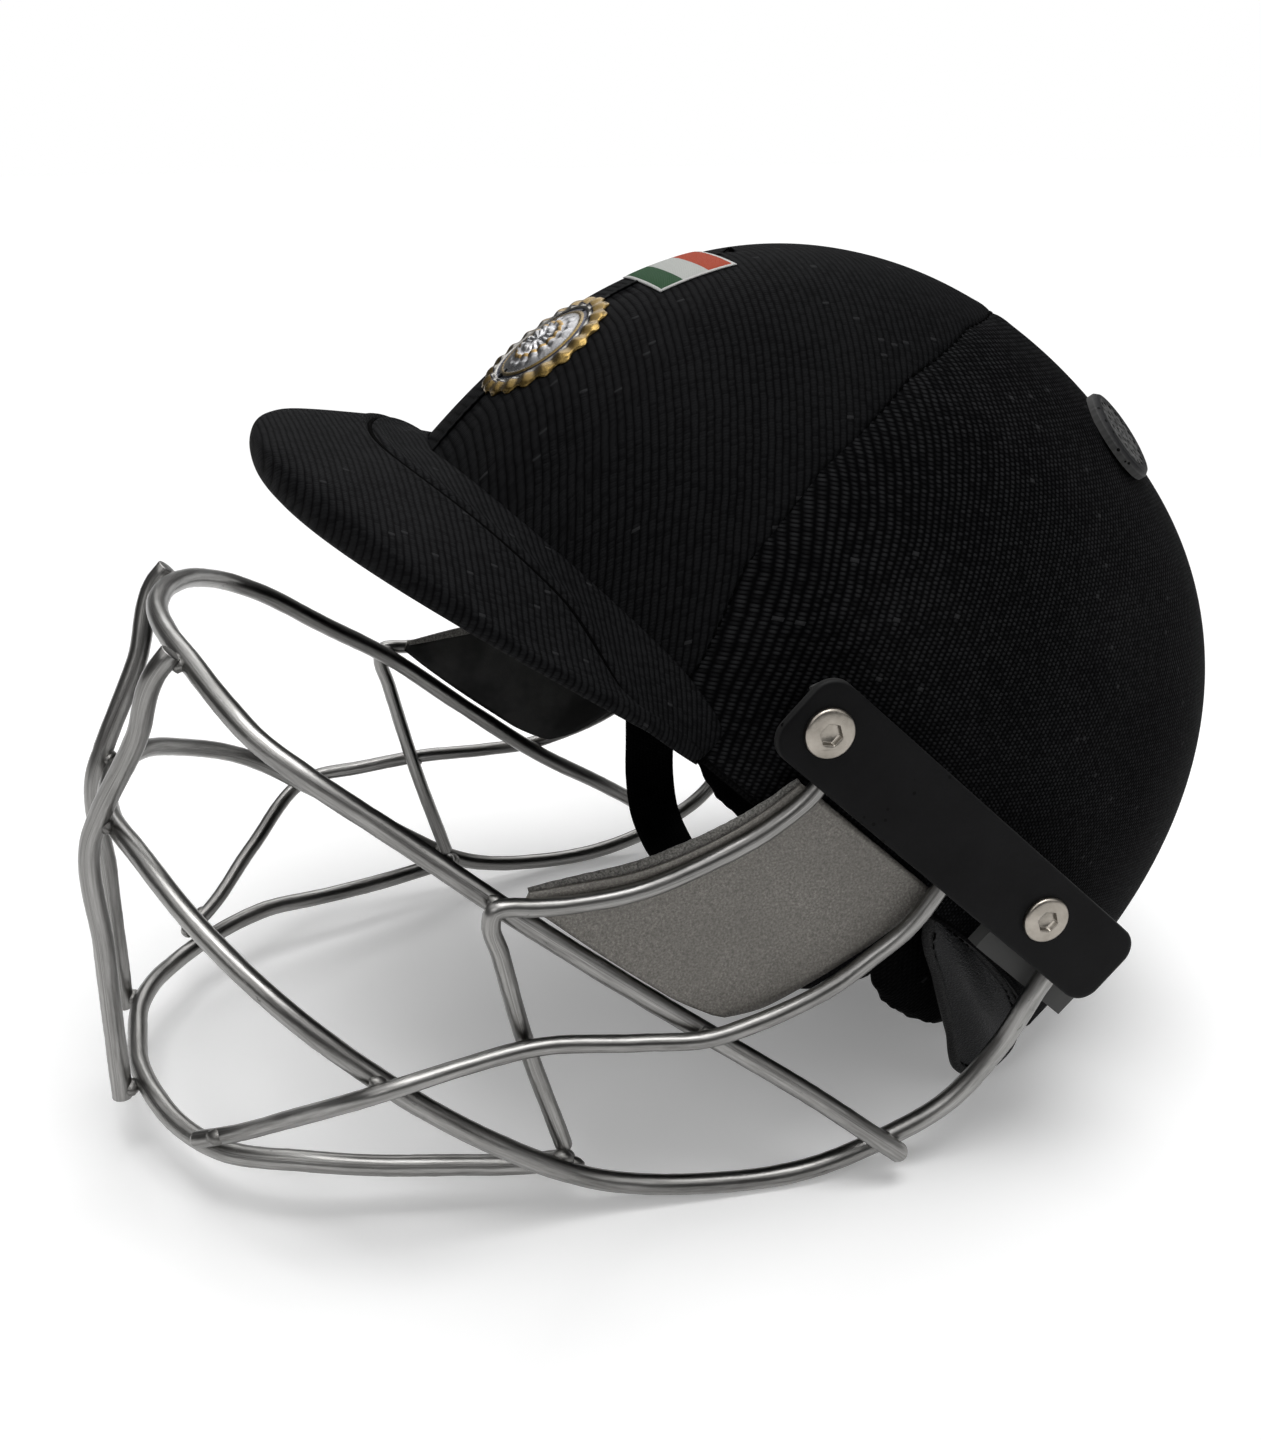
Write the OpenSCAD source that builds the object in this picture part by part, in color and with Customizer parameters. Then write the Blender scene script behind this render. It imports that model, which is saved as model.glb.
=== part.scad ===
// Batting helmet with a cloth-covered shell and peak, a welded wire face guard on two side
// strips, padded ear flaps and a chin strap. Millimetres, +X to the wearer's left, -Y to the
// front, +Z up. It stands as it is put down, on the face guard's lower bar and its nape rim.
// Every piece is drawn in the helmet's own frame (rim plane level, Y to the rear) and rest()
// then tips it back into the standing pose.

/* [Standing pose] */
// Angle between the rim plane and the ground, front up
tilt = 43.5; // [41:0.25:46]
// Height of the rim plane's middle above the ground
stand_z = 95.2; // [90:0.1:100]

/* [Dome] */
// Width over the covered dome
dome_w = 194; // [186:1:206]
// Reach of the dome in front of the ear line
dome_front = 145; // [140:1:150]
// Reach of the dome behind the ear line
dome_rear = 124.5; // [120:0.5:129]
// Height of the dome above the rim plane
dome_h = 151.5; // [145:0.5:158]
// Thickness of the knitted cover
cover_t = 1.2; // [0.8:0.1:1.6]
// Thickness of the moulded shell
shell_t = 3; // [2.5:0.1:4]
// Thickness of the foam liner
liner_t = 14; // [11:0.5:16]
// Thickness of the comfort pads inside the liner
pad_t = 6; // [4:0.5:8]

/* [Peak] */
// How far the peak's lower edge stands out from the dome at the front
peak_reach = 33; // [30:0.5:38]
// How far the peak's lower edge hangs below the rim plane at the front
peak_drop = 28; // [24:0.5:32]
// How far the rounded nose of the peak stands out past its lower edge
peak_nose = 7.5; // [5:0.5:9]

/* [Face guard] */
// Diameter of the thick bars
bar_d = 6; // [5.6:0.1:6.2]
// Diameter of the thin wires
wire_d = 5; // [4.6:0.1:5.2]
// Thickness of the cheek plates
plate_t = 1.2; // [0.8:0.1:1.5]
// Thickness of the steel brackets that the bars are welded to
bracket_t = 1.5; // [1:0.1:1.8]

/* [Side strips] */
// Length of a side strip
strip_l = 135; // [132:1:142]
// Height of a side strip
strip_h = 25; // [23:0.5:28]
// Thickness of a side strip's face
strip_t = 2.5; // [2:0.1:3.5]
// Distance between the two screws of a side
screw_pitch = 91.5; // [88:0.5:96]
// Diameter of the screws' shanks
screw_d = 5; // [4:0.1:5.5]
// Diameter of the screws' flanges
flange_d = 13.5; // [12:0.5:15]

/* [Vents] */
// Diameter of a vent's rim
vent_d = 29; // [26:0.5:31]
// Diameter of the small holes in a vent
vent_hole_d = 2; // [1.4:0.1:2.4]

/* [Soft parts] */
// Thickness of the leather ear flaps
flap_t = 4; // [3:0.5:5]
// Thickness of the foam pads beside the ears
ear_pad_t = 12; // [9:0.5:13]
// Width of the chin strap's webbing
web_w = 20; // [16:0.5:22]
// Thickness of the chin strap's webbing
web_t = 1.6; // [1.2:0.1:2]
// Length of the chin pad along the strap
chin_pad_l = 70; // [60:1:76]

/* [Badge and label] */
// Width of the round badge
badge_d = 44; // [36:1:50]
// Length of the tricolour label across the helmet
label_l = 34; // [28:1:40]
// Height of the tricolour label
label_h = 23; // [18:1:26]

/* [Hidden] */

// Standing pose: where the rim frame's origin stands
stand_y = 34.6;

// Small gaps between neighbouring pieces
cloth_gap = 0.15;
layer_gap = 0.3;
seam_gap = 0.2;
weld_gap = 0.1;

// Dome outline in plan and in profile
dome_half = dome_w / 2;
plan_front_n = 2.25;
plan_rear_n = 3.3;
profile_front = 2.42;
profile_rear = 2.24;
profile_side = (profile_front + profile_rear) / 2;
rim_front = -5;
nape_drop = 8;
ear_cut = 9;
ear_cut_at = 62;
ear_cut_half = 30;
dome_sides = 40;
dome_step = 8;
shell_in = cover_t + cloth_gap;
liner_in = shell_in + shell_t + layer_gap;
pad_in = liner_in + liner_t + layer_gap;

// Joints between the liner's blocks: their angles from the front, and the heights of the level ones
liner_joint = 0.3;
liner_joint_at = [0, 24, 48, 73, 98, 119, 140, 160, 180, 200, 220, 241, 262, 287, 312, 336];
liner_belt = 55;
liner_crown = 105;

// Seam between the front panel and the side panel, as rear and up distances
seam_line = [[-88, 14], [-93, 40], [-90, 70], [-80, 105], [-66, 130], [-46, 150]];

// Peak, seen by its angle from straight ahead
peak_bend = 60.5;
peak_end = 54;
peak_steps = 24;
peak_fade = 5.2;
peak_foot = rim_front;
peak_core_in = cover_t + 1.9;
peak_fall = 0.72;
peak_core_end = peak_end - 2;

// Side plane: the outer face of the steel bracket, turned a little in towards the front
side_gap = 3.4;
side_x = dome_half + side_gap;
side_y = 5.2;
side_z = 22;
side_yaw = 4.3;
bar_r = bar_d / 2;
wire_r = wire_d / 2;
strip_in = bar_d + 0.1;
strip_out = strip_in + strip_t;
strip_corner = 7;
strip_wall = 2;
strip_lip = 0.8;
panel_edge = 5;
panel_t = 0.25;
front_screw = -56.5;
screw_at = [front_screw, front_screw + screw_pitch];
boss_r = 6;
shank_gap = 0.3;
bracket_front = -60;
bracket_rear = 57;
bracket_low = -11.5;
bracket_high = 9.5;

// Screws and tee nuts
flange_t = 1.2;
head_d = 9.6;
head_t = 2.6;
hex_af = 4;
hex_deep = 2.4;
nut_flange_d = 12;
nut_flange_t = 1.2;
nut_barrel_d = screw_d + 1.6;
thread_gap = 0.1;
nut_seat_in = 0.3;
nut_short = 1.5;
pocket_deep = 7;

// Vents
vent_x = 42;
vent_y = -2;
vent_proud = 3;
vent_neck_d = vent_d - 6;
vent_pitch = 3.4;
vent_web = 1.6;
vent_rings = 3;

// Badge and label, as their middle's distance up
badge_z = 50;
badge_t = 1.6;
badge_rim = 3;
label_z = 91;
label_t = 0.6;
patch_gap = 0.25;

// Face guard routes: half of each bar, [side, rear, up], for a side plane 100 from the middle
route_half = 100;
ring_step = 10;
over = bar_r + wire_r + weld_gap;
over_bar = bar_d + weld_gap;
over_wire = wire_d + weld_gap;
top_route = [
    [0, -176.5, -76], [20, -174, -75], [37, -168, -73.5], [53, -159.5, -73], [65, -150.5, -72.5],
    [73, -138, -71], [80, -113.5, -69], [89.7, -83, -66.5], [92, -48.5, -65.5],
    [94.5, -8.5, -63.5], [102.5, 29, -59.5], [102.3 + over_bar, 56, -57.7],
    [102.9 + over_bar, 63, -57.5]
];
lower_route = [
    [0, -153.5, -131], [18, -152, -129.5], [33, -146.5, -127], [58, -128.5, -126],
    [80.5, -101.5, -124.5], [90, -71.5, -124], [94.5, -36, -122], [95, 0, -116],
    [98, 27, -100], [101, 49, -79.5], [102.5, 62, -58], [104, 68.5, -39.5],
    [105.5, 67, -15], [107, 60.5, 5], [107.1, 58.5, 14]
];
chin_route = [
    [0, -97.5, -194.5], [16, -97, -194], [30, -93.5, -192], [42, -88, -189.5],
    [57, -78.5, -182], [70, -63, -166], [76, -47, -153.5], [81, -32, -140.5],
    [86.5, -17.5, -127], [89, -9.5, -118.5]
];
side_wire_route = [
    [56.5, -86, -182.5], [65 - over / 2, -83, -174], [78, -80, -152], [90 + over - 0.2, -74, -123.5],
    [94.5, -61.5, -108.5], [88.3 + over_wire + 0.7, -47, -92.5], [97.5, -25, -75],
    [94.7 + over, -10, -62], [100.8, -3.5, -53], [101.2, 3, -42], [101.6, 8, -30.5],
    [102, 11, -17.5], [103, 12.5, -4.5], [103.3, 11.5, 6], [103.3, 10, 14]
];
cheek_route = [
    [99.6, -40, 14], [99.6, -39.5, 6], [99.2, -41.5, -6], [98.3, -49, -25], [97.3, -58, -41],
    [96.6, -68, -52], [96, -78, -60.5], [89.8 + over, -83, -64.2], [89.8 + over, -85, -66.5],
    [89.5 + over, -83.5, -69.5], [94, -75, -75.5], [88.3, -46, -95.5], [88.9, -14, -115.2]
];
upright_route = [
    [37.5, -168 - over_bar, -74], [37.5, -168 - over_bar, -79], [30, -159 - over_bar, -101],
    [23, -151.6 - over_bar, -127.5], [22, -149.2 - over_bar, -134.5], [22.5, -132, -162],
    [24, -98.3, -200.5]
];

// Cheek plates, as rear and up distances of their corners
plate_outline = [
    [-80, -62.5], [-9, -59.8], [6, -30], [14, 7.5], [-43, 7.5], [-45, -4], [-53, -24], [-61.5, -38],
    [-71, -48.5], [-80, -57]
];
plate_corner = 5;
plate_base = 95.6;
plate_yaw = 3.15;
plate_lean = 2.85;

// Ear flaps and ear pads: where the top edge starts, how it turns in and drops, and outlines
flap_in = 7;
flap_y = 27;
flap_z = 2.7;
flap_yaw = 10;
flap_pitch = 7;
flap_outline = [
    [0, 0], [34, 2.4], [58, 1], [73, -4], [80, -12], [78, -24], [70, -27], [51, -21], [24, -12], [5, -5]
];
ear_pad_y = 20;
ear_pad_z = 0.9;
ear_pad_yaw = 14;
ear_pad_pitch = 4;
ear_pad_outline = [
    [0, 0], [20, 2.6], [40, 1.6], [58, -1.4], [72, -4.6], [76, -12], [72, -24], [52, -30], [30, -30], [8, -18]
];

// Chin strap: its rivets' place on the rim frame, and its run across, as a share of its half
// width, and down
hanger_t = 1.5;
hanger_w = 15;
pivot_y = 8;
pivot_z = -16;
pin_r = 2.5;
pin_gap = 0.05;
hanger_rivet_z = 20;
hanger_x = dome_half - liner_in - hanger_t - 1.2;
web_x = hanger_x - layer_gap - web_t / 2;
strap_route = [
    for (p = [
        [-1, 0], [-1, -20], [-1, -36], [-0.944, -48], [-0.752, -55], [-0.497, -54], [-0.226, -50],
        [0.113, -44], [0.452, -36.5], [0.678, -31.5], [0.864, -27], [0.977, -20], [1, -12], [1, 0]
    ]) [p[0] * web_x, p[1]]
];
strap_step = 6;
chin_pad_mid = -0.09 * web_x;
chin_pad_w = 34;
chin_pad_t = 7;
slider_mid = 0.565 * web_x;
slider_l = 12;
slider_edge = 3;
slider_t = 1.6;

// Standing pose
module rest() {
    translate([0, stand_y, stand_z]) rotate([-tilt, 0, 0]) children();
}

// Same piece on the wearer's right
module right() {
    mirror([1, 0, 0]) children();
}

// Frame of a side strip: X out of the bracket's outer face, Y along the strip, Z up
module on_side() {
    translate([side_x, side_y, side_z]) rotate([0, 0, -side_yaw]) children();
}

// Frame at one screw of a side: Z inwards from the bracket's outer face
module on_screw(along) {
    on_side() translate([0, along, 0]) rotate([0, -90, 0]) children();
}

// Plan radius of the dome at an angle from the rear
function plan_r(a, inset) =
    let (front = cos(a) < 0)
    let (reach = (front ? dome_front : dome_rear) - inset)
    let (n = front ? plan_front_n : plan_rear_n)
    pow(pow(abs(cos(a)) / reach, n) + pow(abs(sin(a)) / (dome_half - inset), n), -1 / n);

// Height of the rim at an angle from the rear, with a cut-out over each ear
function rim_z(a) =
    let (off = (abs(a > 180 ? a - 360 : a) - ear_cut_at) / ear_cut_half)
    rim_front - nape_drop * pow(max(0, cos(a)), 2) + ear_cut * max(0, 1 - off * off);

// Half width of the dome at a place behind the ear line and above the rim
function dome_x(y, z) =
    let (reach = y < 0 ? dome_front : dome_rear)
    let (n = y < 0 ? plan_front_n : plan_rear_n)
    dome_half * pow(pow(level(max(z, 0) / dome_h, profile_side), n) - pow(abs(y) / reach, n), 1 / n);

// Share of the plan radius that is left at a height, or of the height at a place across
function level(share, n) = pow(1 - pow(share, n), 1 / n);

// Exponent of the dome's profile at an angle from the rear
function profile_n(a) = profile_rear + (profile_front - profile_rear) * (1 - cos(a)) / 2;

// Angle at which the dome leans back at a height on its middle line in front
function front_lean(z) =
    let (n = profile_front)
    atan2(pow(z / dome_h, n - 1) / dome_h, pow(level(z / dome_h, n), n - 1) / dome_front);

// Distance from the bracket's outer face in to the cover at a place along a side
function cover_gap(along) =
    (side_x + along * sin(side_yaw) - dome_x(side_y + along * cos(side_yaw), side_z)) / cos(side_yaw);

function ring_angles() = [0 : 360 / dome_sides : 359.9];

function dome_rings(inset, lift) = concat(
    [[for (a = ring_angles()) let (r = plan_r(a, inset)) [r * sin(a), r * cos(a), rim_z(a) + lift]]],
    [for (t = [6 : dome_step : 86])
        [for (a = ring_angles())
            let (n = profile_n(a), r = plan_r(a, inset) * pow(cos(t), 2 / n))
            [r * sin(a), r * cos(a), (dome_h - inset) * pow(sin(t), 2 / n)]]]
);

function from_ring(list, start) = [for (i = [start : len(list) - 1]) list[i]];

// Closed layer of the dome between two depths, whole or only its crown above a ring
module dome_layer(outer, inner, lift = 0, start = 0) {
    out = from_ring(dome_rings(outer, lift), start);
    in = from_ring(dome_rings(inner, lift), start);
    rings = len(out);
    n = dome_sides;
    pole = rings * n;
    shift = pole + 1;
    points = [for (r = out) each r, [0, 0, dome_h - outer], for (r = in) each r, [0, 0, dome_h - inner]];
    outside = [
        for (i = [0 : rings - 2], j = [0 : n - 1])
            let (a = i * n + j, b = i * n + (j + 1) % n)
            each [[a, b, b + n], [a, b + n, a + n]],
        for (j = [0 : n - 1]) [(rings - 1) * n + j, (rings - 1) * n + (j + 1) % n, pole]
    ];
    inside = [for (f = outside) [f[0] + shift, f[2] + shift, f[1] + shift]];
    rim = [
        for (j = [0 : n - 1])
            let (k = (j + 1) % n)
            each [[k, j, j + shift], [k, j + shift, k + shift]]
    ];
    polyhedron(points, concat(outside, inside, rim), convexity = 8);
}

// Patch of the same layer between two rings and two angles, counted in steps from the rear
module dome_patch(outer, inner, rings, steps, lift = 0) {
    out = dome_rings(outer, lift);
    in = dome_rings(inner, lift);
    loft([
        for (j = [steps[0] : steps[1]])
            let (k = (j + dome_sides) % dome_sides)
            concat(
                [for (i = [rings[0] : rings[1]]) out[i][k]],
                [for (i = [rings[1] : -1 : rings[0]]) in[i][k]]
            )
    ]);
}

// Solid through a list of closed rings, each counter-clockwise about the way it goes. A ring
// of a hollow wall runs out along one face and back along the other, and its ends are strips
module loft(rings, wall = false) {
    n = len(rings[0]);
    m = len(rings);
    sides = [
        for (i = [0 : m - 2], j = [0 : n - 1])
            let (a = i * n + j, b = i * n + (j + 1) % n)
            each [[a, b + n, b], [a, a + n, b + n]]
    ];
    end = (m - 1) * n;
    first = wall ? strip(n) : [[for (j = [0 : n - 1]) j]];
    last = [for (f = first) [for (k = reversed(f)) end + k]];
    polyhedron([for (r = rings) each r], concat(sides, first, last), convexity = 8);
}

// Triangles across the end of a wall whose ring has a number of points
function strip(n) = [
    for (j = [0 : n / 2 - 2])
        let (k = n - 1 - j)
        each [[j, j + 1, k], [j + 1, k - 1, k]]
];

function unit(v) = v / norm(v);

// Direction of a route at one of its points, weighted by the lengths either side
function along_at(p, i) =
    i == 0 ? unit(p[1] - p[0]) :
    i == len(p) - 1 ? unit(p[i] - p[i - 1]) :
    let (d0 = norm(p[i] - p[i - 1]), d1 = norm(p[i + 1] - p[i]))
    ((p[i] - p[i - 1]) * d1 / d0 + (p[i + 1] - p[i]) * d0 / d1) / (d0 + d1);

// Smooth curve through a route's points with a point about every step
function smooth(p, step) = [
    for (i = [0 : len(p) - 2])
        let (d = norm(p[i + 1] - p[i]), k = max(1, round(d / step)))
        let (m0 = along_at(p, i) * d, m1 = along_at(p, i + 1) * d)
        for (j = [0 : k - 1])
            let (t = j / k)
            p[i] * (1 + 2 * t) * pow(1 - t, 2) + m0 * t * pow(1 - t, 2)
                + p[i + 1] * t * t * (3 - 2 * t) + m1 * t * t * (t - 1),
    p[len(p) - 1]
];

function carried(n, t) = unit(n - t * (n * t));

// Round bar along a smooth route
module bar(route, r, sides) {
    p = smooth(route, ring_step);
    count = len(p);
    t = [for (i = [0 : count - 1]) unit(p[min(i + 1, count - 1)] - p[max(i - 1, 0)])];
    first = unit(cross(t[0], [0.1, 0.2, 1]));
    normals = [for (i = 0, n = first; i < count; i = i + 1, n = carried(n, t[min(i, count - 1)])) n];
    loft([
        for (i = [0 : count - 1])
            let (b = cross(t[i], normals[i]))
            [for (j = [0 : sides - 1])
                p[i] + r * (cos(360 * j / sides) * normals[i] + sin(360 * j / sides) * b)]
    ]);
}

function wide(route) = [for (p = route) [p[0] * side_x / route_half, p[1], p[2]]];

function both_sides(half) = concat(
    [for (i = [len(half) - 1 : -1 : 1]) [-half[i][0], half[i][1], half[i][2]]],
    half
);

// Outline with each corner cut round
function rounded(p, r) = [
    for (i = [0 : len(p) - 1])
        let (a = p[(i + len(p) - 1) % len(p)], b = p[i], c = p[(i + 1) % len(p)])
        let (reach = min(r, norm(a - b) / 2.2, norm(c - b) / 2.2))
        let (s = b + unit(a - b) * reach, e = b + unit(c - b) * reach)
        for (t = [0 : 0.333 : 1]) s * pow(1 - t, 2) + b * 2 * t * (1 - t) + e * t * t
];

// Cushion on an outline in its X-Y plane: sides drawn in to a crown on both faces
module cushion(outline, thick, crown, corner) {
    p = reversed(rounded(outline, corner));
    mid = [for (k = [0, 1]) (min([for (q = p) q[k]]) + max([for (q = p) q[k]])) / 2];
    flat = thick / 2 - crown;
    levels = [
        [0.3, -thick / 2], [0.72, -thick / 2 + crown * 0.35], [0.93, -flat * 0.95], [1, -flat * 0.35],
        [1, flat * 0.35], [0.93, flat * 0.95], [0.72, thick / 2 - crown * 0.35], [0.3, thick / 2]
    ];
    loft([
        for (l = levels)
            [for (q = p) [mid[0] + (q[0] - mid[0]) * l[0], mid[1] + (q[1] - mid[1]) * l[0], l[1]]]
    ]);
}

// Plate with round corners, lying in the X-Y plane
module round_plate(length, width, corner, thick) {
    linear_extrude(thick) {
        square([length - 2 * corner, width], center = true);
        square([length, width - 2 * corner], center = true);
        for (x = [-1, 1], y = [-1, 1])
            translate([x * (length / 2 - corner), y * (width / 2 - corner)]) circle(corner, $fn = 48);
    }
}

// Everything behind the seam between the two cover panels
module behind_seam(ahead) {
    rotate([90, 0, 90])
        translate([-ahead, 0, -dome_w])
            linear_extrude(2 * dome_w)
                polygon(concat([[-88, -40]], seam_line, [[-44, 200], [200, 200], [200, -40]]));
}

module screw_bores(d, from, to) {
    for (along = screw_at)
        on_screw(along) translate([0, 0, from]) cylinder(d = d, h = to - from, $fn = 48);
}

module on_vent() {
    n = profile_side;
    up = level(vent_x / dome_half, n);
    lean = atan2(pow(vent_x / dome_half, n - 1) / dome_half, pow(up, n - 1) / dome_h);
    translate([vent_x, vent_y, dome_h * up]) rotate([0, lean, 0]) children();
}

module vent_bore(d, deep = 40) {
    on_vent() translate([0, 0, -deep]) cylinder(d = d, h = deep + 20, $fn = 60);
}

module both() {
    children();
    right() children();
}

module shell() {
    color([0.12, 0.12, 0.13]) difference() {
        dome_layer(shell_in, shell_in + shell_t);
        both() screw_bores(nut_barrel_d + 2 * thread_gap, -10, 40);
        both() for (along = screw_at)
            on_screw(along)
                translate([0, 0, cover_gap(along) + shell_in + shell_t - nut_seat_in])
                    cylinder(d = nut_flange_d + 1, h = 12, $fn = 48);
        both() vent_bore(vent_neck_d + 0.6);
        both() rivet_bore(2 * pin_r + 2 * pin_gap);
    }
}

module foam_liner() {
    color([0.16, 0.16, 0.17]) difference() {
        dome_layer(liner_in, liner_in + liner_t, 1);
        both() for (along = screw_at)
            on_screw(along)
                translate([0, 0, cover_gap(along) + shell_in + shell_t - 2])
                    cylinder(d = nut_flange_d + 3, h = pocket_deep, $fn = 48);
        both() vent_bore(vent_neck_d - 4);
        both() vent_bore(vent_neck_d + 1, 10);
        both() hanger_slot();
        liner_joints();
    }
}

// Thin joints between the liner's crown piece and its two rows of wall blocks, which the shell holds
module liner_joints() {
    for (a = liner_joint_at)
        rotate([0, 0, a]) translate([-liner_joint / 2, 0, -dome_w])
            cube([liner_joint, dome_w, dome_w + liner_crown]);
    for (level = [liner_belt, liner_crown])
        translate([-dome_w, -dome_w, level]) cube([2 * dome_w, 2 * dome_w, liner_joint]);
}

module hanger_slot() {
    translate([hanger_x - 4, pivot_y - hanger_w / 2 - 1.5, -30])
        cube([20, hanger_w + 3, 30 + hanger_rivet_z + 9]);
}

module rivet_bore(d) {
    translate([hanger_x - 8, pivot_y, hanger_rivet_z]) rotate([0, 90, 0]) cylinder(d = d, h = 30, $fn = 48);
}

module brow_pad() {
    color([0.2, 0.2, 0.21]) dome_patch(pad_in, pad_in + pad_t, [0, 1], [14, 26], 2);
}

module nape_pad() {
    color([0.2, 0.2, 0.21]) dome_patch(pad_in, pad_in + pad_t, [0, 1], [-3, 3], 2);
}

module crown_pad() {
    color([0.2, 0.2, 0.21]) dome_layer(pad_in, pad_in + pad_t, 0, 9);
}

module cover_skin() {
    difference() {
        dome_layer(0, cover_t);
        both() screw_bores(screw_d + 2 * shank_gap, -10, 40);
        both() vent_bore(vent_neck_d + 0.6);
    }
}

module front_cover() {
    color([0.07, 0.07, 0.08]) difference() {
        cover_skin();
        behind_seam(seam_gap);
    }
}

module side_cover() {
    color([0.06, 0.06, 0.07]) intersection() {
        cover_skin();
        behind_seam(0);
    }
}

// Section of the peak at an angle from straight ahead, as [out from the dome, up] points
function peak_section(b) =
    let (q = abs(b) / peak_bend, fade = 1 - pow(q, peak_fade))
    let (edge = peak_reach * fade)
    let (low = min(-peak_drop * (1 - 1.77 * q * q + 0.9 * pow(q, 4)), peak_foot - 1.5))
    let (nose = peak_nose * (1 - 0.6 * q * q), tip = edge + nose)
    let (seam = edge * (0.47 + 0.25 * q * q), seam_z = 5 * pow(sin(190 * q), 2))
    let (root = 7 + 4 * sin(180 * q))
    let (brow = tip - nose * 0.55)
    let (brow_z = max(seam_z - peak_fall * (brow - seam), low + nose * 0.5 + 2.5))
    let (tip_z = low + (brow_z - low) * 0.54)
    [
        [layer_gap, root], [seam * 0.5, (root + seam_z) / 2 - 0.8], [seam, seam_z],
        [(seam + brow) / 2, (seam_z + brow_z) / 2 + 0.4], [brow, brow_z],
        [tip - nose * 0.12, tip_z + (brow_z - tip_z) * 0.45], [tip, tip_z],
        [tip - nose * 0.2, (tip_z + low) / 2], [tip - nose * 0.6, low + (tip_z - low) * 0.12],
        [edge, low], [edge - 3 * fade, low + 0.8 * fade],
        [edge * 0.72, peak_foot + (low - peak_foot) * 0.5],
        [edge * 0.3, peak_foot + (low - peak_foot) * 0.16], [layer_gap, peak_foot]
    ];

// The same section moved in from its skin by a depth
function peak_inset(s, depth) = [
    for (i = [0 : len(s) - 1])
        let (t = unit(s[min(i + 1, len(s) - 1)] - s[max(i - 1, 0)]))
        let (p = s[i] + depth * [t[1], -t[0]])
        i == 0 || i == len(s) - 1 ? [layer_gap, p[1]] : p
];

function peak_ring(section, b) = [
    for (s = section)
        let (r = plan_r(180 - b, 0) + s[0])
        [r * sin(b), -r * cos(b), s[1]]
];

// The section with its rounded nose cut off between the brow and the lower edge
function without_nose(s) = [for (i = [0 : len(s) - 1]) if (i < 4 || i > 10) s[i]];

// Angles of the peak's sections from one end to the other, the same number for every layer
function peak_angles(end) = [for (i = [0 : peak_steps]) end * (2 * i / peak_steps - 1)];

function reversed(list) = [for (i = [len(list) - 1 : -1 : 0]) list[i]];

module peak_cover() {
    color([0.06, 0.06, 0.07]) loft([
        for (b = peak_angles(peak_end))
            let (skin = peak_section(b))
            peak_ring(concat(skin, reversed(peak_inset(skin, cover_t))), b)
    ], wall = true);
}

module peak_core() {
    color([0.14, 0.14, 0.15]) loft([
        for (b = peak_angles(peak_core_end))
            peak_ring(peak_inset(without_nose(peak_section(b)), peak_core_in), b)
    ]);
}

module vent() {
    color([0.33, 0.34, 0.35]) on_vent() difference() {
        rotate_extrude($fn = 72) polygon([
            [0, vent_proud - vent_web], [vent_neck_d / 2 - 1.2, vent_proud - vent_web],
            [vent_neck_d / 2 - 1.2, -6], [vent_neck_d / 2, -6], [vent_neck_d / 2, 0.3],
            [vent_d / 2, -0.2], [vent_d / 2, vent_proud - 1.4], [vent_d / 2 - 1, vent_proud - 0.3],
            [vent_d / 2 - 2.4, vent_proud], [vent_d / 2 - 3.6, vent_proud - 0.5], [0, vent_proud - 0.2]
        ]);
        for (ring = [0 : vent_rings])
            for (k = [0 : max(0, 6 * ring - 1)])
                rotate([0, 0, k * 360 / max(1, 6 * ring)])
                    translate([ring * vent_pitch, 0, vent_proud - 2 * vent_web])
                        cylinder(d = vent_hole_d, h = 3 * vent_web, $fn = 16);
    }
}

// Patch of the dome's front under an outline held in front of it, between two heights off it
module front_patch(up, rings, from, to) {
    intersection() {
        dome_patch(-to, -from, rings, [17, 23]);
        translate([0, -dome_front * level(up / dome_h, profile_front), up])
            rotate([90 - front_lean(up), 0, 0]) translate([0, 0, -14]) linear_extrude(40) children();
    }
}

module badge() {
    inner_d = badge_d - 2 * badge_rim;
    color([0.72, 0.6, 0.3]) {
        front_patch(badge_z, [1, 4], patch_gap + 0.1, patch_gap + badge_t * 0.6)
            circle(d = inner_d + 1, $fn = 60);
        front_patch(badge_z, [1, 4], patch_gap, patch_gap + badge_t) difference() {
            circle(d = badge_d, $fn = 60);
            circle(d = inner_d, $fn = 60);
        }
    }
}

module tricolour_label() {
    color([0.9, 0.9, 0.88]) front_patch(label_z, [3, 6], patch_gap, patch_gap + label_t)
        square([label_l, label_h], center = true);
}

module bracket() {
    color([0.62, 0.63, 0.64]) on_side() difference() {
        translate([-bracket_t, (bracket_front + bracket_rear) / 2, (bracket_low + bracket_high) / 2])
            rotate([90, 0, 90])
                round_plate(bracket_rear - bracket_front, bracket_high - bracket_low, 5, bracket_t);
        for (along = screw_at)
            translate([0, along, 0]) rotate([0, -90, 0]) translate([0, 0, -1])
                cylinder(d = screw_d + 2 * shank_gap, h = bracket_t + 2, $fn = 48);
    }
}

// Rubber spacer at the front screw, between the cover and the bracket
module spacer_front() {
    along = screw_at[0];
    gap = cover_gap(along) - bracket_t;
    thick = gap - 3 * layer_gap;
    color([0.1, 0.1, 0.1]) on_screw(along) translate([0, 0, bracket_t]) difference() {
        cylinder(d = 11, h = max(0.6, thick), $fn = 48);
        translate([0, 0, -1]) cylinder(d = screw_d + 2 * shank_gap, h = 12, $fn = 48);
    }
}

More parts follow.
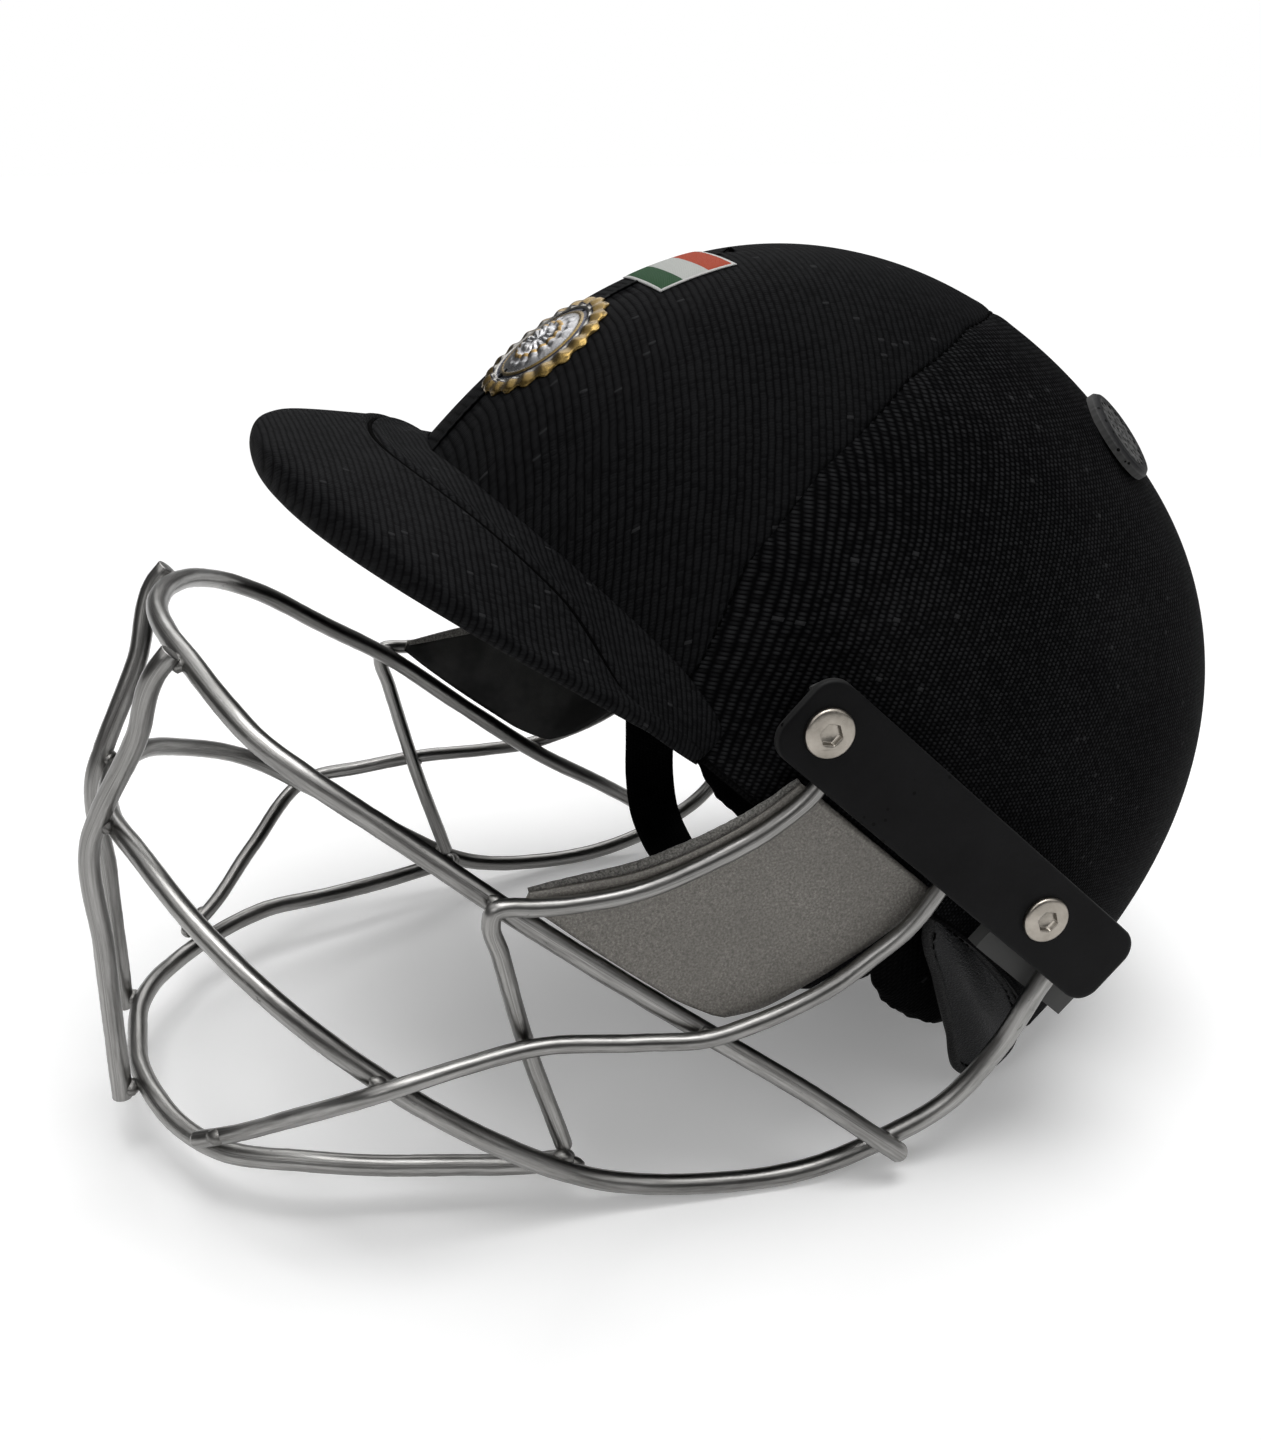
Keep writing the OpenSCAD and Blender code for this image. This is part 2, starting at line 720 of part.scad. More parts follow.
// Rubber block at the rear screw that fills the wedge between the cover and the bracket
module spacer_rear() {
    front = 38;
    rear = 78;
    low = 3;
    high = 30;
    skin = [for (y = [front : 5 : rear]) [dome_x(y, low) + layer_gap, y]];
    back = bracket_t + layer_gap / 2;
    face = function (y) side_x + (y - side_y) * tan(side_yaw) - back / cos(side_yaw);
    color([0.08, 0.08, 0.08]) difference() {
        translate([0, 0, low]) linear_extrude(high - low)
            polygon(concat(skin, [[face(rear), rear], [face(front), front]]));
        screw_bores(screw_d + 2 * shank_gap, -10, 40);
    }
}

// Moulded strip: a tray with a top wall and end walls, open below where the bars come in
module side_strip() {
    color([0.05, 0.05, 0.055]) on_side() difference() {
        union() {
            translate([strip_in, 0, 0]) rotate([90, 0, 90])
                round_plate(strip_l, strip_h, strip_corner, strip_t);
            translate([strip_lip, 0, 0]) rotate([90, 0, 90])
                difference() {
                    round_plate(strip_l, strip_h, strip_corner, strip_in - strip_lip);
                    translate([0, -strip_wall, -1])
                        round_plate(strip_l - 2 * strip_wall, strip_h, strip_corner - strip_wall, 20);
                    translate([0, -strip_h / 2, 9]) cube([strip_l + 2, strip_h - 4, 20], center = true);
                }
            translate([strip_in, (screw_at[0] + screw_at[1]) / 2, 0]) rotate([90, 0, 90])
                round_plate(
                    screw_pitch - flange_d - panel_edge, strip_h - panel_edge,
                    panel_edge / 2, strip_t + panel_t
                );
            for (along = screw_at)
                translate([weld_gap, along, 0]) rotate([0, 90, 0])
                    cylinder(r = boss_r, h = strip_in - weld_gap + 0.5, $fn = 60);
        }
        for (along = screw_at)
            translate([-1, along, 0]) rotate([0, 90, 0])
                cylinder(d = screw_d + 2 * shank_gap, h = strip_out + 2, $fn = 48);
    }
}

module cage_screw(along) {
    seat = cover_gap(along) + shell_in + shell_t - nut_seat_in;
    on_screw(along) rotate([180, 0, 0]) translate([0, 0, strip_out]) difference() {
        rotate_extrude($fn = 72) polygon([
            [0, -strip_out - seat - nut_flange_t - 2],
            [screw_d / 2 - 0.5, -strip_out - seat - nut_flange_t - 2],
            [screw_d / 2, -strip_out - seat - nut_flange_t - 1.5], [screw_d / 2, 0.05],
            [flange_d / 2 - 0.3, 0.05], [flange_d / 2, 0.35], [flange_d / 2, flange_t - 0.3],
            [flange_d / 2 - 0.4, flange_t], [head_d / 2, flange_t],
            [head_d / 2 - 0.5, flange_t + head_t * 0.35],
            [head_d / 2 - 1.4, head_t], [0, head_t]
        ]);
        translate([0, 0, head_t - hex_deep])
            cylinder(d = hex_af / cos(30), h = hex_deep + 1, $fn = 6);
    }
}

module cage_screws() {
    color([0.78, 0.78, 0.78]) both() for (along = screw_at) cage_screw(along);
}

module cage_tee_nuts() {
    color([0.7, 0.7, 0.68]) both() for (along = screw_at) {
        seat = cover_gap(along) + shell_in + shell_t - nut_seat_in;
        on_screw(along) difference() {
            union() {
                translate([0, 0, seat + 0.05]) cylinder(d = nut_flange_d, h = nut_flange_t, $fn = 60);
                translate([0, 0, seat - shell_t + nut_short])
                    cylinder(d = nut_barrel_d, h = shell_t - nut_short + 0.2, $fn = 48);
            }
            cylinder(d = screw_d + 2 * thread_gap, h = seat + 10, $fn = 48);
        }
    }
}

module top_bar() {
    color([0.62, 0.63, 0.64]) bar(both_sides(wide(top_route)), bar_r, 10);
}

module lower_bar() {
    color([0.62, 0.63, 0.64]) bar(both_sides(wide(lower_route)), bar_r, 10);
}

module chin_bar() {
    color([0.62, 0.63, 0.64]) bar(both_sides(wide(chin_route)), bar_r, 10);
}

module side_wire() {
    color([0.62, 0.63, 0.64]) bar(wide(side_wire_route), wire_r, 8);
}

module cheek_wire() {
    color([0.62, 0.63, 0.64]) bar(wide(cheek_route), wire_r, 8);
}

module upright() {
    color([0.62, 0.63, 0.64]) bar(wide(upright_route), bar_r, 10);
}

module cheek_plate() {
    base = (plate_base - route_half) + side_x;
    color([0.52, 0.52, 0.5])
        translate([base, -7, -61.5]) rotate([0, plate_lean, -plate_yaw]) translate([-plate_t, 7, 61.5])
            rotate([90, 0, 90]) linear_extrude(plate_t) polygon(rounded(plate_outline, plate_corner));
}

// Frame at the sewn top edge of a soft part: X along the edge, Y up, Z out
module on_edge(x, y, z, yaw, pitch) {
    translate([x, y, z]) rotate([0, 0, yaw]) rotate([-pitch, 0, 0]) rotate([90, 0, 90]) children();
}

module ear_flap() {
    color([0.2, 0.2, 0.21])
        on_edge(dome_half - flap_in, flap_y, flap_z, flap_yaw, flap_pitch)
            cushion(flap_outline, flap_t, 0.9, 8);
}

module ear_pad() {
    color([0.13, 0.13, 0.14])
        on_edge(dome_half - liner_in - liner_t / 2 - 5, ear_pad_y, ear_pad_z, ear_pad_yaw, ear_pad_pitch)
            cushion(ear_pad_outline, ear_pad_t, 2.5, 12);
}

// Frame at the strap's rivets, level with the ground: X across, Y rear, Z up
module on_pivot() {
    translate([0, pivot_y, pivot_z]) rotate([tilt, 0, 0]) children();
}

module strap_hanger() {
    tall = hanger_rivet_z - pivot_z + hanger_w;
    color([0.5, 0.5, 0.5]) {
        difference() {
            translate([hanger_x, pivot_y, (hanger_rivet_z + pivot_z) / 2]) rotate([90, 0, 90])
                round_plate(hanger_w, tall, 7, hanger_t);
            rivet_bore(2 * pin_r + 2 * pin_gap);
        }
        translate([hanger_x, pivot_y, pivot_z]) rotate([0, -90, 0]) {
            translate([0, 0, -0.2]) cylinder(r = pin_r, h = web_t + 2 * layer_gap + 0.4, $fn = 48);
            translate([0, 0, web_t + 2 * layer_gap]) cylinder(r = pin_r + 2.5, h = 1.2, $fn = 48);
        }
    }
}

module hanger_rivets() {
    reach = dome_x(pivot_y, hanger_rivet_z) - shell_in - 0.3 - hanger_x;
    color([0.7, 0.7, 0.7]) both()
        translate([hanger_x, pivot_y, hanger_rivet_z]) rotate([0, 90, 0]) {
            cylinder(r = pin_r, h = reach, $fn = 48);
            translate([0, 0, -1.25]) cylinder(r = pin_r + 1.8, h = 1.2, $fn = 48);
            translate([0, 0, -0.1]) cylinder(r = pin_r, h = 0.2, $fn = 48);
        }
}

// Band of a given thickness on both sides of a smooth path in the X-Z plane
function band_side(p, off) = [
    for (i = [0 : len(p) - 1])
        let (t = unit(p[min(i + 1, len(p) - 1)] - p[max(i - 1, 0)]))
        p[i] + off * [-t[1], t[0]]
];

module chin_webbing() {
    path = smooth(strap_route, strap_step);
    color([0.05, 0.05, 0.05]) on_pivot() difference() {
        union() {
            rotate([90, 0, 0]) translate([0, 0, -web_w / 2]) linear_extrude(web_w)
                polygon(concat(band_side(path, web_t / 2), reversed(band_side(path, -web_t / 2))));
            for (side = [-1, 1])
                translate([side * web_x, 0, 0]) rotate([0, 90, 0])
                    translate([0, 0, -web_t / 2]) cylinder(d = web_w, h = web_t, $fn = 60);
        }
        for (side = [-1, 1])
            translate([side * web_x, 0, 0]) rotate([0, 90, 0])
                cylinder(r = pin_r + pin_gap, h = 4 * web_t, center = true, $fn = 48);
    }
}

// Stretch of the strap's path between two places across the helmet
function path_between(x0, x1) = [for (p = smooth(strap_route, strap_step)) if (p[0] > x0 && p[0] < x1) p];

module chin_pad() {
    path = path_between(chin_pad_mid - chin_pad_l / 2, chin_pad_mid + chin_pad_l / 2);
    last = len(path) - 1;
    color([0.13, 0.13, 0.14]) on_pivot() loft([
        for (i = [0 : last])
            let (t = unit(path[min(i + 1, last)] - path[max(i - 1, 0)]), n = [-t[1], t[0]])
            let (swell = 0.35 + 0.65 * sqrt(sin(180 * (i + 0.5) / (last + 1))))
            let (half = chin_pad_w / 2 * swell, thick = chin_pad_t * swell)
            let (c = path[i] + n * (web_t / 2 + layer_gap))
            [for (k = [0 : 15])
                let (a = 22.5 * k, up = thick * (1 + sin(a)) / 2, y = half * cos(a))
                [c[0] + n[0] * up, y, c[1] + n[1] * up]]
    ]);
}

module strap_slider() {
    path = path_between(slider_mid - 12, slider_mid + 12);
    a = path[0];
    b = path[len(path) - 1];
    lean = atan2(b[1] - a[1], b[0] - a[0]);
    slot = web_t + 2 * layer_gap;
    color([0.1, 0.1, 0.1])
    on_pivot() translate([(a[0] + b[0]) / 2, 0, (a[1] + b[1]) / 2]) rotate([0, -lean, 0])
        difference() {
            cube([slider_l, web_w + 2 * slider_edge, slot + 2 * slider_t], center = true);
            cube([slider_l + 2, web_w + 2 * layer_gap, slot], center = true);
        }
}

rest() shell();
rest() foam_liner();
rest() brow_pad();
rest() crown_pad();
rest() nape_pad();
rest() front_cover();
rest() side_cover();
rest() peak_core();
rest() peak_cover();
rest() vent();  // vent_left
rest() right() vent();  // vent_right
rest() badge();
rest() tricolour_label();
rest() bracket();  // bracket_left
rest() right() bracket();  // bracket_right
rest() spacer_front();  // spacer_front_left
rest() right() spacer_front();  // spacer_front_right
rest() spacer_rear();  // spacer_rear_left
rest() right() spacer_rear();  // spacer_rear_right
rest() side_strip();  // side_strip_left
rest() right() side_strip();  // side_strip_right
rest() cage_screws();
rest() cage_tee_nuts();
rest() top_bar();
rest() lower_bar();
rest() chin_bar();
rest() cheek_wire();  // cheek_wire_left
rest() right() cheek_wire();  // cheek_wire_right
rest() side_wire();  // side_wire_left
rest() right() side_wire();  // side_wire_right
rest() upright();  // upright_left
rest() right() upright();  // upright_right
rest() cheek_plate();  // cheek_plate_left
rest() right() cheek_plate();  // cheek_plate_right
rest() ear_flap();  // ear_flap_left
rest() right() ear_flap();  // ear_flap_right
rest() ear_pad();  // ear_pad_left
rest() right() ear_pad();  // ear_pad_right
rest() strap_hanger();  // strap_hanger_left
rest() right() strap_hanger();  // strap_hanger_right
rest() hanger_rivets();
rest() chin_webbing();
rest() chin_pad();
rest() strap_slider();
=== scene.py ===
# %% [markdown]
# A batting helmet with a steel face guard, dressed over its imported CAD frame.
# The frame gives every place and size; this script gives the cloth, leather, steel
# and plastic. Everything is in metres, in the frame's own axes: +X is the wearer's
# left, -Y the front, +Z up. The helmet lies tipped back on its guard and its nape.

# %% Load the frame
import math
import bpy
import bmesh
import numpy as np
from mathutils import Matrix, Vector, noise


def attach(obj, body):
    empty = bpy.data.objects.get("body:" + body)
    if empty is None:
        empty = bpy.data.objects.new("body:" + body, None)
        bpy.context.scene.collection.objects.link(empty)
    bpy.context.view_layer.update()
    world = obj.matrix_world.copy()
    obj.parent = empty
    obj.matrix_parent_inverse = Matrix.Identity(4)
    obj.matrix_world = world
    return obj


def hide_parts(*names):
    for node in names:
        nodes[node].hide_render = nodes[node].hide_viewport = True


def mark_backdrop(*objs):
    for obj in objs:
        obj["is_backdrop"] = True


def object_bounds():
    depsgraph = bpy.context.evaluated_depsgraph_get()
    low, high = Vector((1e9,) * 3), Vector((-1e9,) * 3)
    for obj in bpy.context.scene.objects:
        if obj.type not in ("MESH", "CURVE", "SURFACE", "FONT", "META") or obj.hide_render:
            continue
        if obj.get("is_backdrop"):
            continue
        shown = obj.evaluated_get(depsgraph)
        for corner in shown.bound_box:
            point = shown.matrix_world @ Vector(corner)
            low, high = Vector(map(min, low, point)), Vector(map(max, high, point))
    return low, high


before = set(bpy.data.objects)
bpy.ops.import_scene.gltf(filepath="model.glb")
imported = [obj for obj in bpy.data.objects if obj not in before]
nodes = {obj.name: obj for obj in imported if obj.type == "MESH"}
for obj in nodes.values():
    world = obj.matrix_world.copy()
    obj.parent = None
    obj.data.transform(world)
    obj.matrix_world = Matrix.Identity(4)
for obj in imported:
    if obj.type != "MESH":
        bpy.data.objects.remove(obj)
cad_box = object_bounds()

# %% [markdown]
# The camera. The photograph was taken from the wearer's left, a little from the front
# and from above. Its place was fitted to the pairs of bars and welds that show on both sides
# of the guard. The lens was picked from several that were tried, so it is a judgement.

# %% Camera at the photograph's place
def camera_at(place, right, forward, lens):
    z = -Vector(forward).normalized()
    x = Vector(right).normalized()
    y = z.cross(x)
    data = bpy.data.cameras.new("photo_camera")
    data.lens, data.sensor_width, data.clip_start = lens, 36, 0.01
    camera = bpy.data.objects.new("photo_camera", data)
    camera.matrix_world = Matrix.Translation(place) @ Matrix((x, y, z)).transposed().to_4x4()
    bpy.context.collection.objects.link(camera)
    bpy.context.scene.camera = camera
    return camera


camera_at((0.3934, -0.1314, 0.2922), (0.302, 0.953, 0), (-0.871, 0.276, -0.407), 35.0)
print("camera set")

# %% [markdown]
# The studio. A pale floor carries the shadow, and the world is white to the camera and in
# reflections. Bare steel needs something dark to mirror, or its bars look flat, so a grey
# band stands round the set where only reflections see it.

# %% Floor, world, lamps and the reflected band
def build(name, points, faces, uv=None, smooth=True):
    mesh = bpy.data.meshes.new(name)
    mesh.from_pydata([tuple(map(float, p)) for p in points], [], [tuple(map(int, f)) for f in faces])
    if uv is not None:
        layer = mesh.uv_layers.new(name="cloth")
        index = np.empty(len(mesh.loops), dtype=np.int32)
        mesh.loops.foreach_get("vertex_index", index)
        layer.data.foreach_set("uv", np.asarray(uv, dtype=np.float32)[index].ravel())
    mesh.polygons.foreach_set("use_smooth", [smooth] * len(mesh.polygons))
    mesh.update()
    obj = bpy.data.objects.new(name, mesh)
    bpy.context.collection.objects.link(obj)
    return obj


def add(tree, kind, inputs=None, **settings):
    """A shader node with its settings and its inputs, each a value or another node's output."""
    node = tree.nodes.new("ShaderNode" + kind)
    for key, value in settings.items():
        setattr(node, key, value)
    for key, value in (inputs or {}).items():
        if isinstance(value, bpy.types.NodeSocket):
            tree.links.new(value, node.inputs[key])
        else:
            node.inputs[key].default_value = value
    return node


def calc(tree, how, *values, clamp=False):
    return add(tree, "Math", dict(enumerate(values)), operation=how, use_clamp=clamp).outputs[0]


def ramp(tree, value, stops, smooth=False):
    node = add(tree, "ValToRGB", {"Fac": value})
    node.color_ramp.interpolation = "EASE" if smooth else "LINEAR"
    elements = node.color_ramp.elements
    while len(elements) < len(stops):
        elements.new(0.5)
    for element, (place, colour) in zip(elements, stops):
        element.position = place
        element.color = (*colour, 1) if hasattr(colour, "__len__") else (colour, colour, colour, 1)
    return node.outputs["Color"]


def steps(tree, value, stops):
    """Colours in bands with hard edges."""
    node = add(tree, "ValToRGB", {"Fac": value})
    node.color_ramp.interpolation = "CONSTANT"
    elements = node.color_ramp.elements
    while len(elements) < len(stops):
        elements.new(0.5)
    for element, (place, colour) in zip(elements, stops):
        element.position, element.color = place, (*colour, 1)
    return node.outputs[0]


def blend_colour(tree, share, a, b, how="MIX"):
    node = add(tree, "Mix", data_type="RGBA", blend_type=how)
    for key, value in ((0, share), (6, a), (7, b)):
        if isinstance(value, bpy.types.NodeSocket):
            tree.links.new(value, node.inputs[key])
        else:
            node.inputs[key].default_value = (*value, 1) if hasattr(value, "__len__") else value
    return node.outputs[2]


def lamp(name, place, aim, size, power):
    data = bpy.data.lights.new(name, "AREA")
    data.shape, data.size, data.size_y, data.energy = "RECTANGLE", size[0], size[1], power
    obj = bpy.data.objects.new(name, data)
    obj.location = place
    obj.rotation_euler = (Vector(aim) - Vector(place)).to_track_quat("-Z", "Y").to_euler()
    bpy.context.collection.objects.link(obj)


def seen_itself(tree):
    """1 for rays from the camera, off a mirror or through glass, and 0 for soft light."""
    path = add(tree, "LightPath").outputs
    return calc(tree, "MAXIMUM", path["Is Camera Ray"],
                calc(tree, "MAXIMUM", path["Is Glossy Ray"], path["Is Transmission Ray"]))


world = bpy.data.worlds.new("studio")
bpy.context.scene.world = world
world.use_nodes = True
tree = world.node_tree
tree.nodes.clear()
seen = seen_itself(tree)
strength = calc(tree, "ADD", 0.22, calc(tree, "MULTIPLY", seen, 0.78))
sky = add(tree, "Background", {"Color": (1, 1, 1, 1), "Strength": strength})
tree.links.new(sky.outputs[0], add(tree, "OutputWorld").inputs[0])

lamp("top", (0.15, 0.1, 1.9), (0, 0, 0.12), (1.1, 1.3), 25)
lamp("key", (1.1, -1.2, 1.3), (0, 0, 0.12), (0.9, 0.7), 3.5)
lamp("fill", (1.3, 1.2, 1.1), (0, 0, 0.12), (1.0, 1.0), 3)
lamp("back", (-1.5, 0.3, 1.3), (0, 0, 0.15), (1.4, 0.8), 8)

floor = build("floor", [(-6, -6, -0.0004), (6, -6, -0.0004), (6, 6, -0.0004), (-6, 6, -0.0004)],
              [(0, 1, 2, 3)])
ring = [(2.6 * math.cos(a), 2.6 * math.sin(a)) for a in np.linspace(0, 2 * math.pi, 64, endpoint=False)]
band = build("reflected_band", [(x, y, z) for z in (0.12, 2.3) for x, y in ring],
             [(i, (i + 1) % 64, 64 + (i + 1) % 64, 64 + i) for i in range(64)])
for flag in ("visible_camera", "visible_diffuse", "visible_shadow", "visible_transmission"):
    setattr(band, flag, False)
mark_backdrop(floor, band)


def material(name, **shader):
    """A material with one Principled shader: plain values are set on its own sockets."""
    made = bpy.data.materials.new(name)
    made.use_nodes = True
    tree = made.node_tree
    tree.nodes.clear()
    surface = add(tree, "BsdfPrincipled", shader)
    tree.links.new(surface.outputs[0], add(tree, "OutputMaterial").inputs[0])
    return made, tree, surface.inputs


def bump(tree, height, depth, sockets, normal=None):
    """Depth is the real height of the relief in metres."""
    inputs = {"Height": height, "Distance": depth, "Strength": 1.0}
    if normal is not None:
        inputs["Normal"] = normal
    tree.links.new(add(tree, "Bump", inputs).outputs[0], sockets["Normal"])


floor_finish, tree, sockets = material("pale_floor", Roughness=0.9)
speck = add(tree, "TexNoise", {"Scale": 90.0, "Detail": 4.0})
seen = seen_itself(tree)
away = add(tree, "VectorMath", {0: add(tree, "TexCoord").outputs["Object"]},
           operation="LENGTH").outputs["Value"]
fade = calc(tree, "MULTIPLY", calc(tree, "SUBTRACT", away, 0.35, clamp=True), 2.2, clamp=True)
shade = ramp(tree, speck.outputs["Fac"], [(0.3, 0.93), (0.7, 0.95)])
tree.links.new(blend_colour(tree, calc(tree, "MULTIPLY", fade, seen), shade, (0.0, 0.0, 0.0)),
               sockets["Base Color"])
glow = blend_colour(tree, fade, (0.2, 0.2, 0.2), (1.0, 1.0, 1.0))
tree.links.new(blend_colour(tree, seen, (0.0, 0.0, 0.0), glow), sockets["Emission Color"])
sockets["Emission Strength"].default_value = 1.0
floor.data.materials.append(floor_finish)
band_finish, tree, sockets = material("grey_band",
                                      **{"Base Color": (0.03, 0.03, 0.03, 1), "Roughness": 1.0})
tree.links.new(ramp(tree, add(tree, "TexNoise", {"Scale": 1.5}).outputs["Fac"], [(0.3, 0.05), (0.7, 0.12)]),
               sockets["Emission Color"])
sockets["Emission Strength"].default_value = 1.0
band.data.materials.append(band_finish)
print("studio set")

# %% [markdown]
# Effects that several finishes share are node groups. Each gives a mask, a colour value or a
# height, and every material sets its own scale on the group's inputs.

# %% Shared shader groups
def group(name, inputs, outputs):
    tree = bpy.data.node_groups.new(name, "ShaderNodeTree")
    for label, value in inputs:
        kind = "NodeSocketVector" if value is None else "NodeSocketFloat"
        socket = tree.interface.new_socket(label, in_out="INPUT", socket_type=kind)
        if value is not None:
            socket.default_value = value
    for label in outputs:
        tree.interface.new_socket(label, in_out="OUTPUT", socket_type="NodeSocketFloat")
    return tree, tree.nodes.new("NodeGroupInput").outputs, tree.nodes.new("NodeGroupOutput").inputs


def place(tree, name, **inputs):
    node = tree.nodes.new("ShaderNodeGroup")
    node.node_tree = bpy.data.node_groups[name]
    for key, value in inputs.items():
        if isinstance(value, bpy.types.NodeSocket):
            tree.links.new(value, node.inputs[key])
        else:
            node.inputs[key].default_value = value
    return node.outputs


# Ribs: fine cords along V, a set pitch apart in U, each broken into uneven stitches; the light-and-shade
# output paints each cord's crest lighter as a painted highlight and the grooves between darker as painted
# shade
tree, i, o = group("ribbed_weave", [("UV", None), ("Pitch", 0.0018), ("Stitch", 0.0012)],
                   ["Height", "Light", "Speck"])
xyz = add(tree, "SeparateXYZ", {0: i["UV"]})
wander = add(tree, "TexNoise", {"Vector": i["UV"], "Scale": 60.0, "Detail": 2.0}).outputs["Fac"]
u = calc(tree, "ADD", calc(tree, "DIVIDE", xyz.outputs[0], i["Pitch"]), calc(tree, "MULTIPLY", wander, 0.5))
row = calc(tree, "FLOOR", u)
across = calc(tree, "PINGPONG", u, 0.5)
v = calc(tree, "ADD", calc(tree, "DIVIDE", xyz.outputs[1], i["Stitch"]), calc(tree, "MULTIPLY", row, 0.37))
along = calc(tree, "PINGPONG", v, 0.5)
cell = add(tree, "CombineXYZ", {0: row, 1: calc(tree, "FLOOR", v), 2: 0.0}).outputs[0]
odd = add(tree, "TexWhiteNoise", {"Vector": cell}, noise_dimensions="3D").outputs["Value"]
cord = calc(tree, "SINE", calc(tree, "MULTIPLY", across, math.pi))
knot = calc(tree, "ADD", 0.72, calc(tree, "MULTIPLY", along, 0.56))
tree.links.new(calc(tree, "MULTIPLY", cord, knot), o["Height"])
tree.links.new(calc(tree, "MULTIPLY", calc(tree, "MULTIPLY", cord, knot), calc(tree, "ADD", 0.55, odd)),
               o["Light"])
tree.links.new(calc(tree, "GREATER_THAN", odd, 0.996), o["Speck"])

# Knit: short oblong stitches in a brick pattern that runs on the slant; the light-and-shade output paints
# each stitch's middle lighter as a painted highlight and the gaps between stitches darker as painted shade
tree, i, o = group("knit_mesh", [("UV", None), ("Pitch", 0.00092)], ["Height", "Light", "Speck"])
slant = add(tree, "VectorRotate", {"Vector": i["UV"], "Angle": 0.72}, rotation_type="Z_AXIS").outputs[0]
soft = add(tree, "TexNoise", {"Vector": slant, "Scale": 70.0, "Detail": 2.0}).outputs["Fac"]
xyz = add(tree, "SeparateXYZ", {0: slant})
u = calc(tree, "ADD", calc(tree, "DIVIDE", xyz.outputs[0], i["Pitch"]), calc(tree, "MULTIPLY", soft, 0.6))
row = calc(tree, "FLOOR", u)
v = calc(tree, "ADD", calc(tree, "DIVIDE", xyz.outputs[1], calc(tree, "MULTIPLY", i["Pitch"], 1.7)),
         calc(tree, "MULTIPLY", row, 0.5))
across = calc(tree, "SINE", calc(tree, "MULTIPLY", calc(tree, "PINGPONG", u, 0.5), math.pi))
along = calc(tree, "SINE", calc(tree, "MULTIPLY", calc(tree, "PINGPONG", v, 0.5), math.pi))
cell = add(tree, "CombineXYZ", {0: row, 1: calc(tree, "FLOOR", v), 2: 3.0}).outputs[0]
odd = add(tree, "TexWhiteNoise", {"Vector": cell}, noise_dimensions="3D").outputs["Value"]
dash = calc(tree, "MULTIPLY", across, calc(tree, "POWER", along, 0.7))
tree.links.new(dash, o["Height"])
tree.links.new(calc(tree, "MULTIPLY", calc(tree, "POWER", dash, 2.0), calc(tree, "ADD", 0.35, odd)),
               o["Light"])
tree.links.new(calc(tree, "GREATER_THAN", odd, 0.997), o["Speck"])

# Mottle: large and small uneven patches, and dust that gathers in some of them
tree, i, o = group("mottle", [("Large", 18.0), ("Small", 300.0)], ["Patches", "Grain", "Dust"])
spot = add(tree, "TexCoord").outputs["Object"]
large = add(tree, "TexNoise",
            {"Vector": spot, "Scale": i["Large"], "Detail": 4.0, "Roughness": 0.6}).outputs["Fac"]
small = add(tree, "TexNoise",
            {"Vector": spot, "Scale": i["Small"], "Detail": 5.0, "Roughness": 0.7}).outputs["Fac"]
tree.links.new(large, o["Patches"])
tree.links.new(small, o["Grain"])
both = calc(tree, "MULTIPLY", calc(tree, "SUBTRACT", large, 0.45, clamp=True),
            calc(tree, "SUBTRACT", small, 0.4, clamp=True))
tree.links.new(calc(tree, "MULTIPLY", both, 20.0, clamp=True), o["Dust"])

# Scuffs: short thin scratches and pits
tree, i, o = group("scuffs", [("Scale", 220.0), ("Amount", 0.5)], ["Scratch", "Pit"])
spot = add(tree, "TexCoord").outputs["Object"]
long_way = add(tree, "Mapping",
               {"Vector": spot, "Rotation": (0.4, 0.9, 0.6), "Scale": (1.0, 0.12, 1.0)}).outputs[0]
lines = add(tree, "TexNoise",
            {"Vector": long_way, "Scale": i["Scale"], "Detail": 3.0, "Roughness": 0.7}).outputs["Fac"]
where = add(tree, "TexNoise", {"Vector": spot, "Scale": 26.0, "Detail": 3.0}).outputs["Fac"]
held = calc(tree, "MULTIPLY", calc(tree, "SUBTRACT", where, 0.5, clamp=True), i["Amount"])
tree.links.new(calc(tree, "MULTIPLY",
                    calc(tree, "SUBTRACT", calc(tree, "ADD", lines, held), 0.7, clamp=True),
                    9.0, clamp=True), o["Scratch"])
pits = add(tree, "TexVoronoi",
           {"Vector": spot, "Scale": calc(tree, "MULTIPLY", i["Scale"], 1.5)}).outputs["Distance"]
tree.links.new(calc(tree, "MULTIPLY", calc(tree, "LESS_THAN", pits, 0.16),
                    calc(tree, "GREATER_THAN", where, 0.56)), o["Pit"])

# Drawn steel: streaks along a bar, and darker spots of scale
tree, i, o = group("drawn_steel", [("UV", None)], ["Streak", "Spot", "Grain"])
fine = add(tree, "Mapping", {"Vector": i["UV"], "Scale": (1.0, 0.06, 1.0)}).outputs[0]
streak = add(tree, "TexNoise",
             {"Vector": fine, "Scale": 900.0, "Detail": 4.0, "Roughness": 0.65}).outputs["Fac"]
wide_one = add(tree, "TexNoise", {"Vector": fine, "Scale": 210.0, "Detail": 3.0}).outputs["Fac"]
spots = add(tree, "TexNoise",
            {"Vector": add(tree, "Mapping", {"Vector": i["UV"], "Scale": (1.0, 0.35, 1.0)}).outputs[0],
             "Scale": 520.0, "Detail": 5.0, "Roughness": 0.75}).outputs["Fac"]
where = add(tree, "TexNoise", {"Vector": i["UV"], "Scale": 34.0, "Detail": 2.0}).outputs["Fac"]
tree.links.new(calc(tree, "MULTIPLY", calc(tree, "ADD", streak, wide_one), 0.5), o["Streak"])
spotted = calc(tree, "SUBTRACT", calc(tree, "ADD", spots, calc(tree, "MULTIPLY", where, 0.45)), 0.9,
               clamp=True)
tree.links.new(calc(tree, "MULTIPLY", spotted, 12.0, clamp=True), o["Spot"])
tree.links.new(spots, o["Grain"])
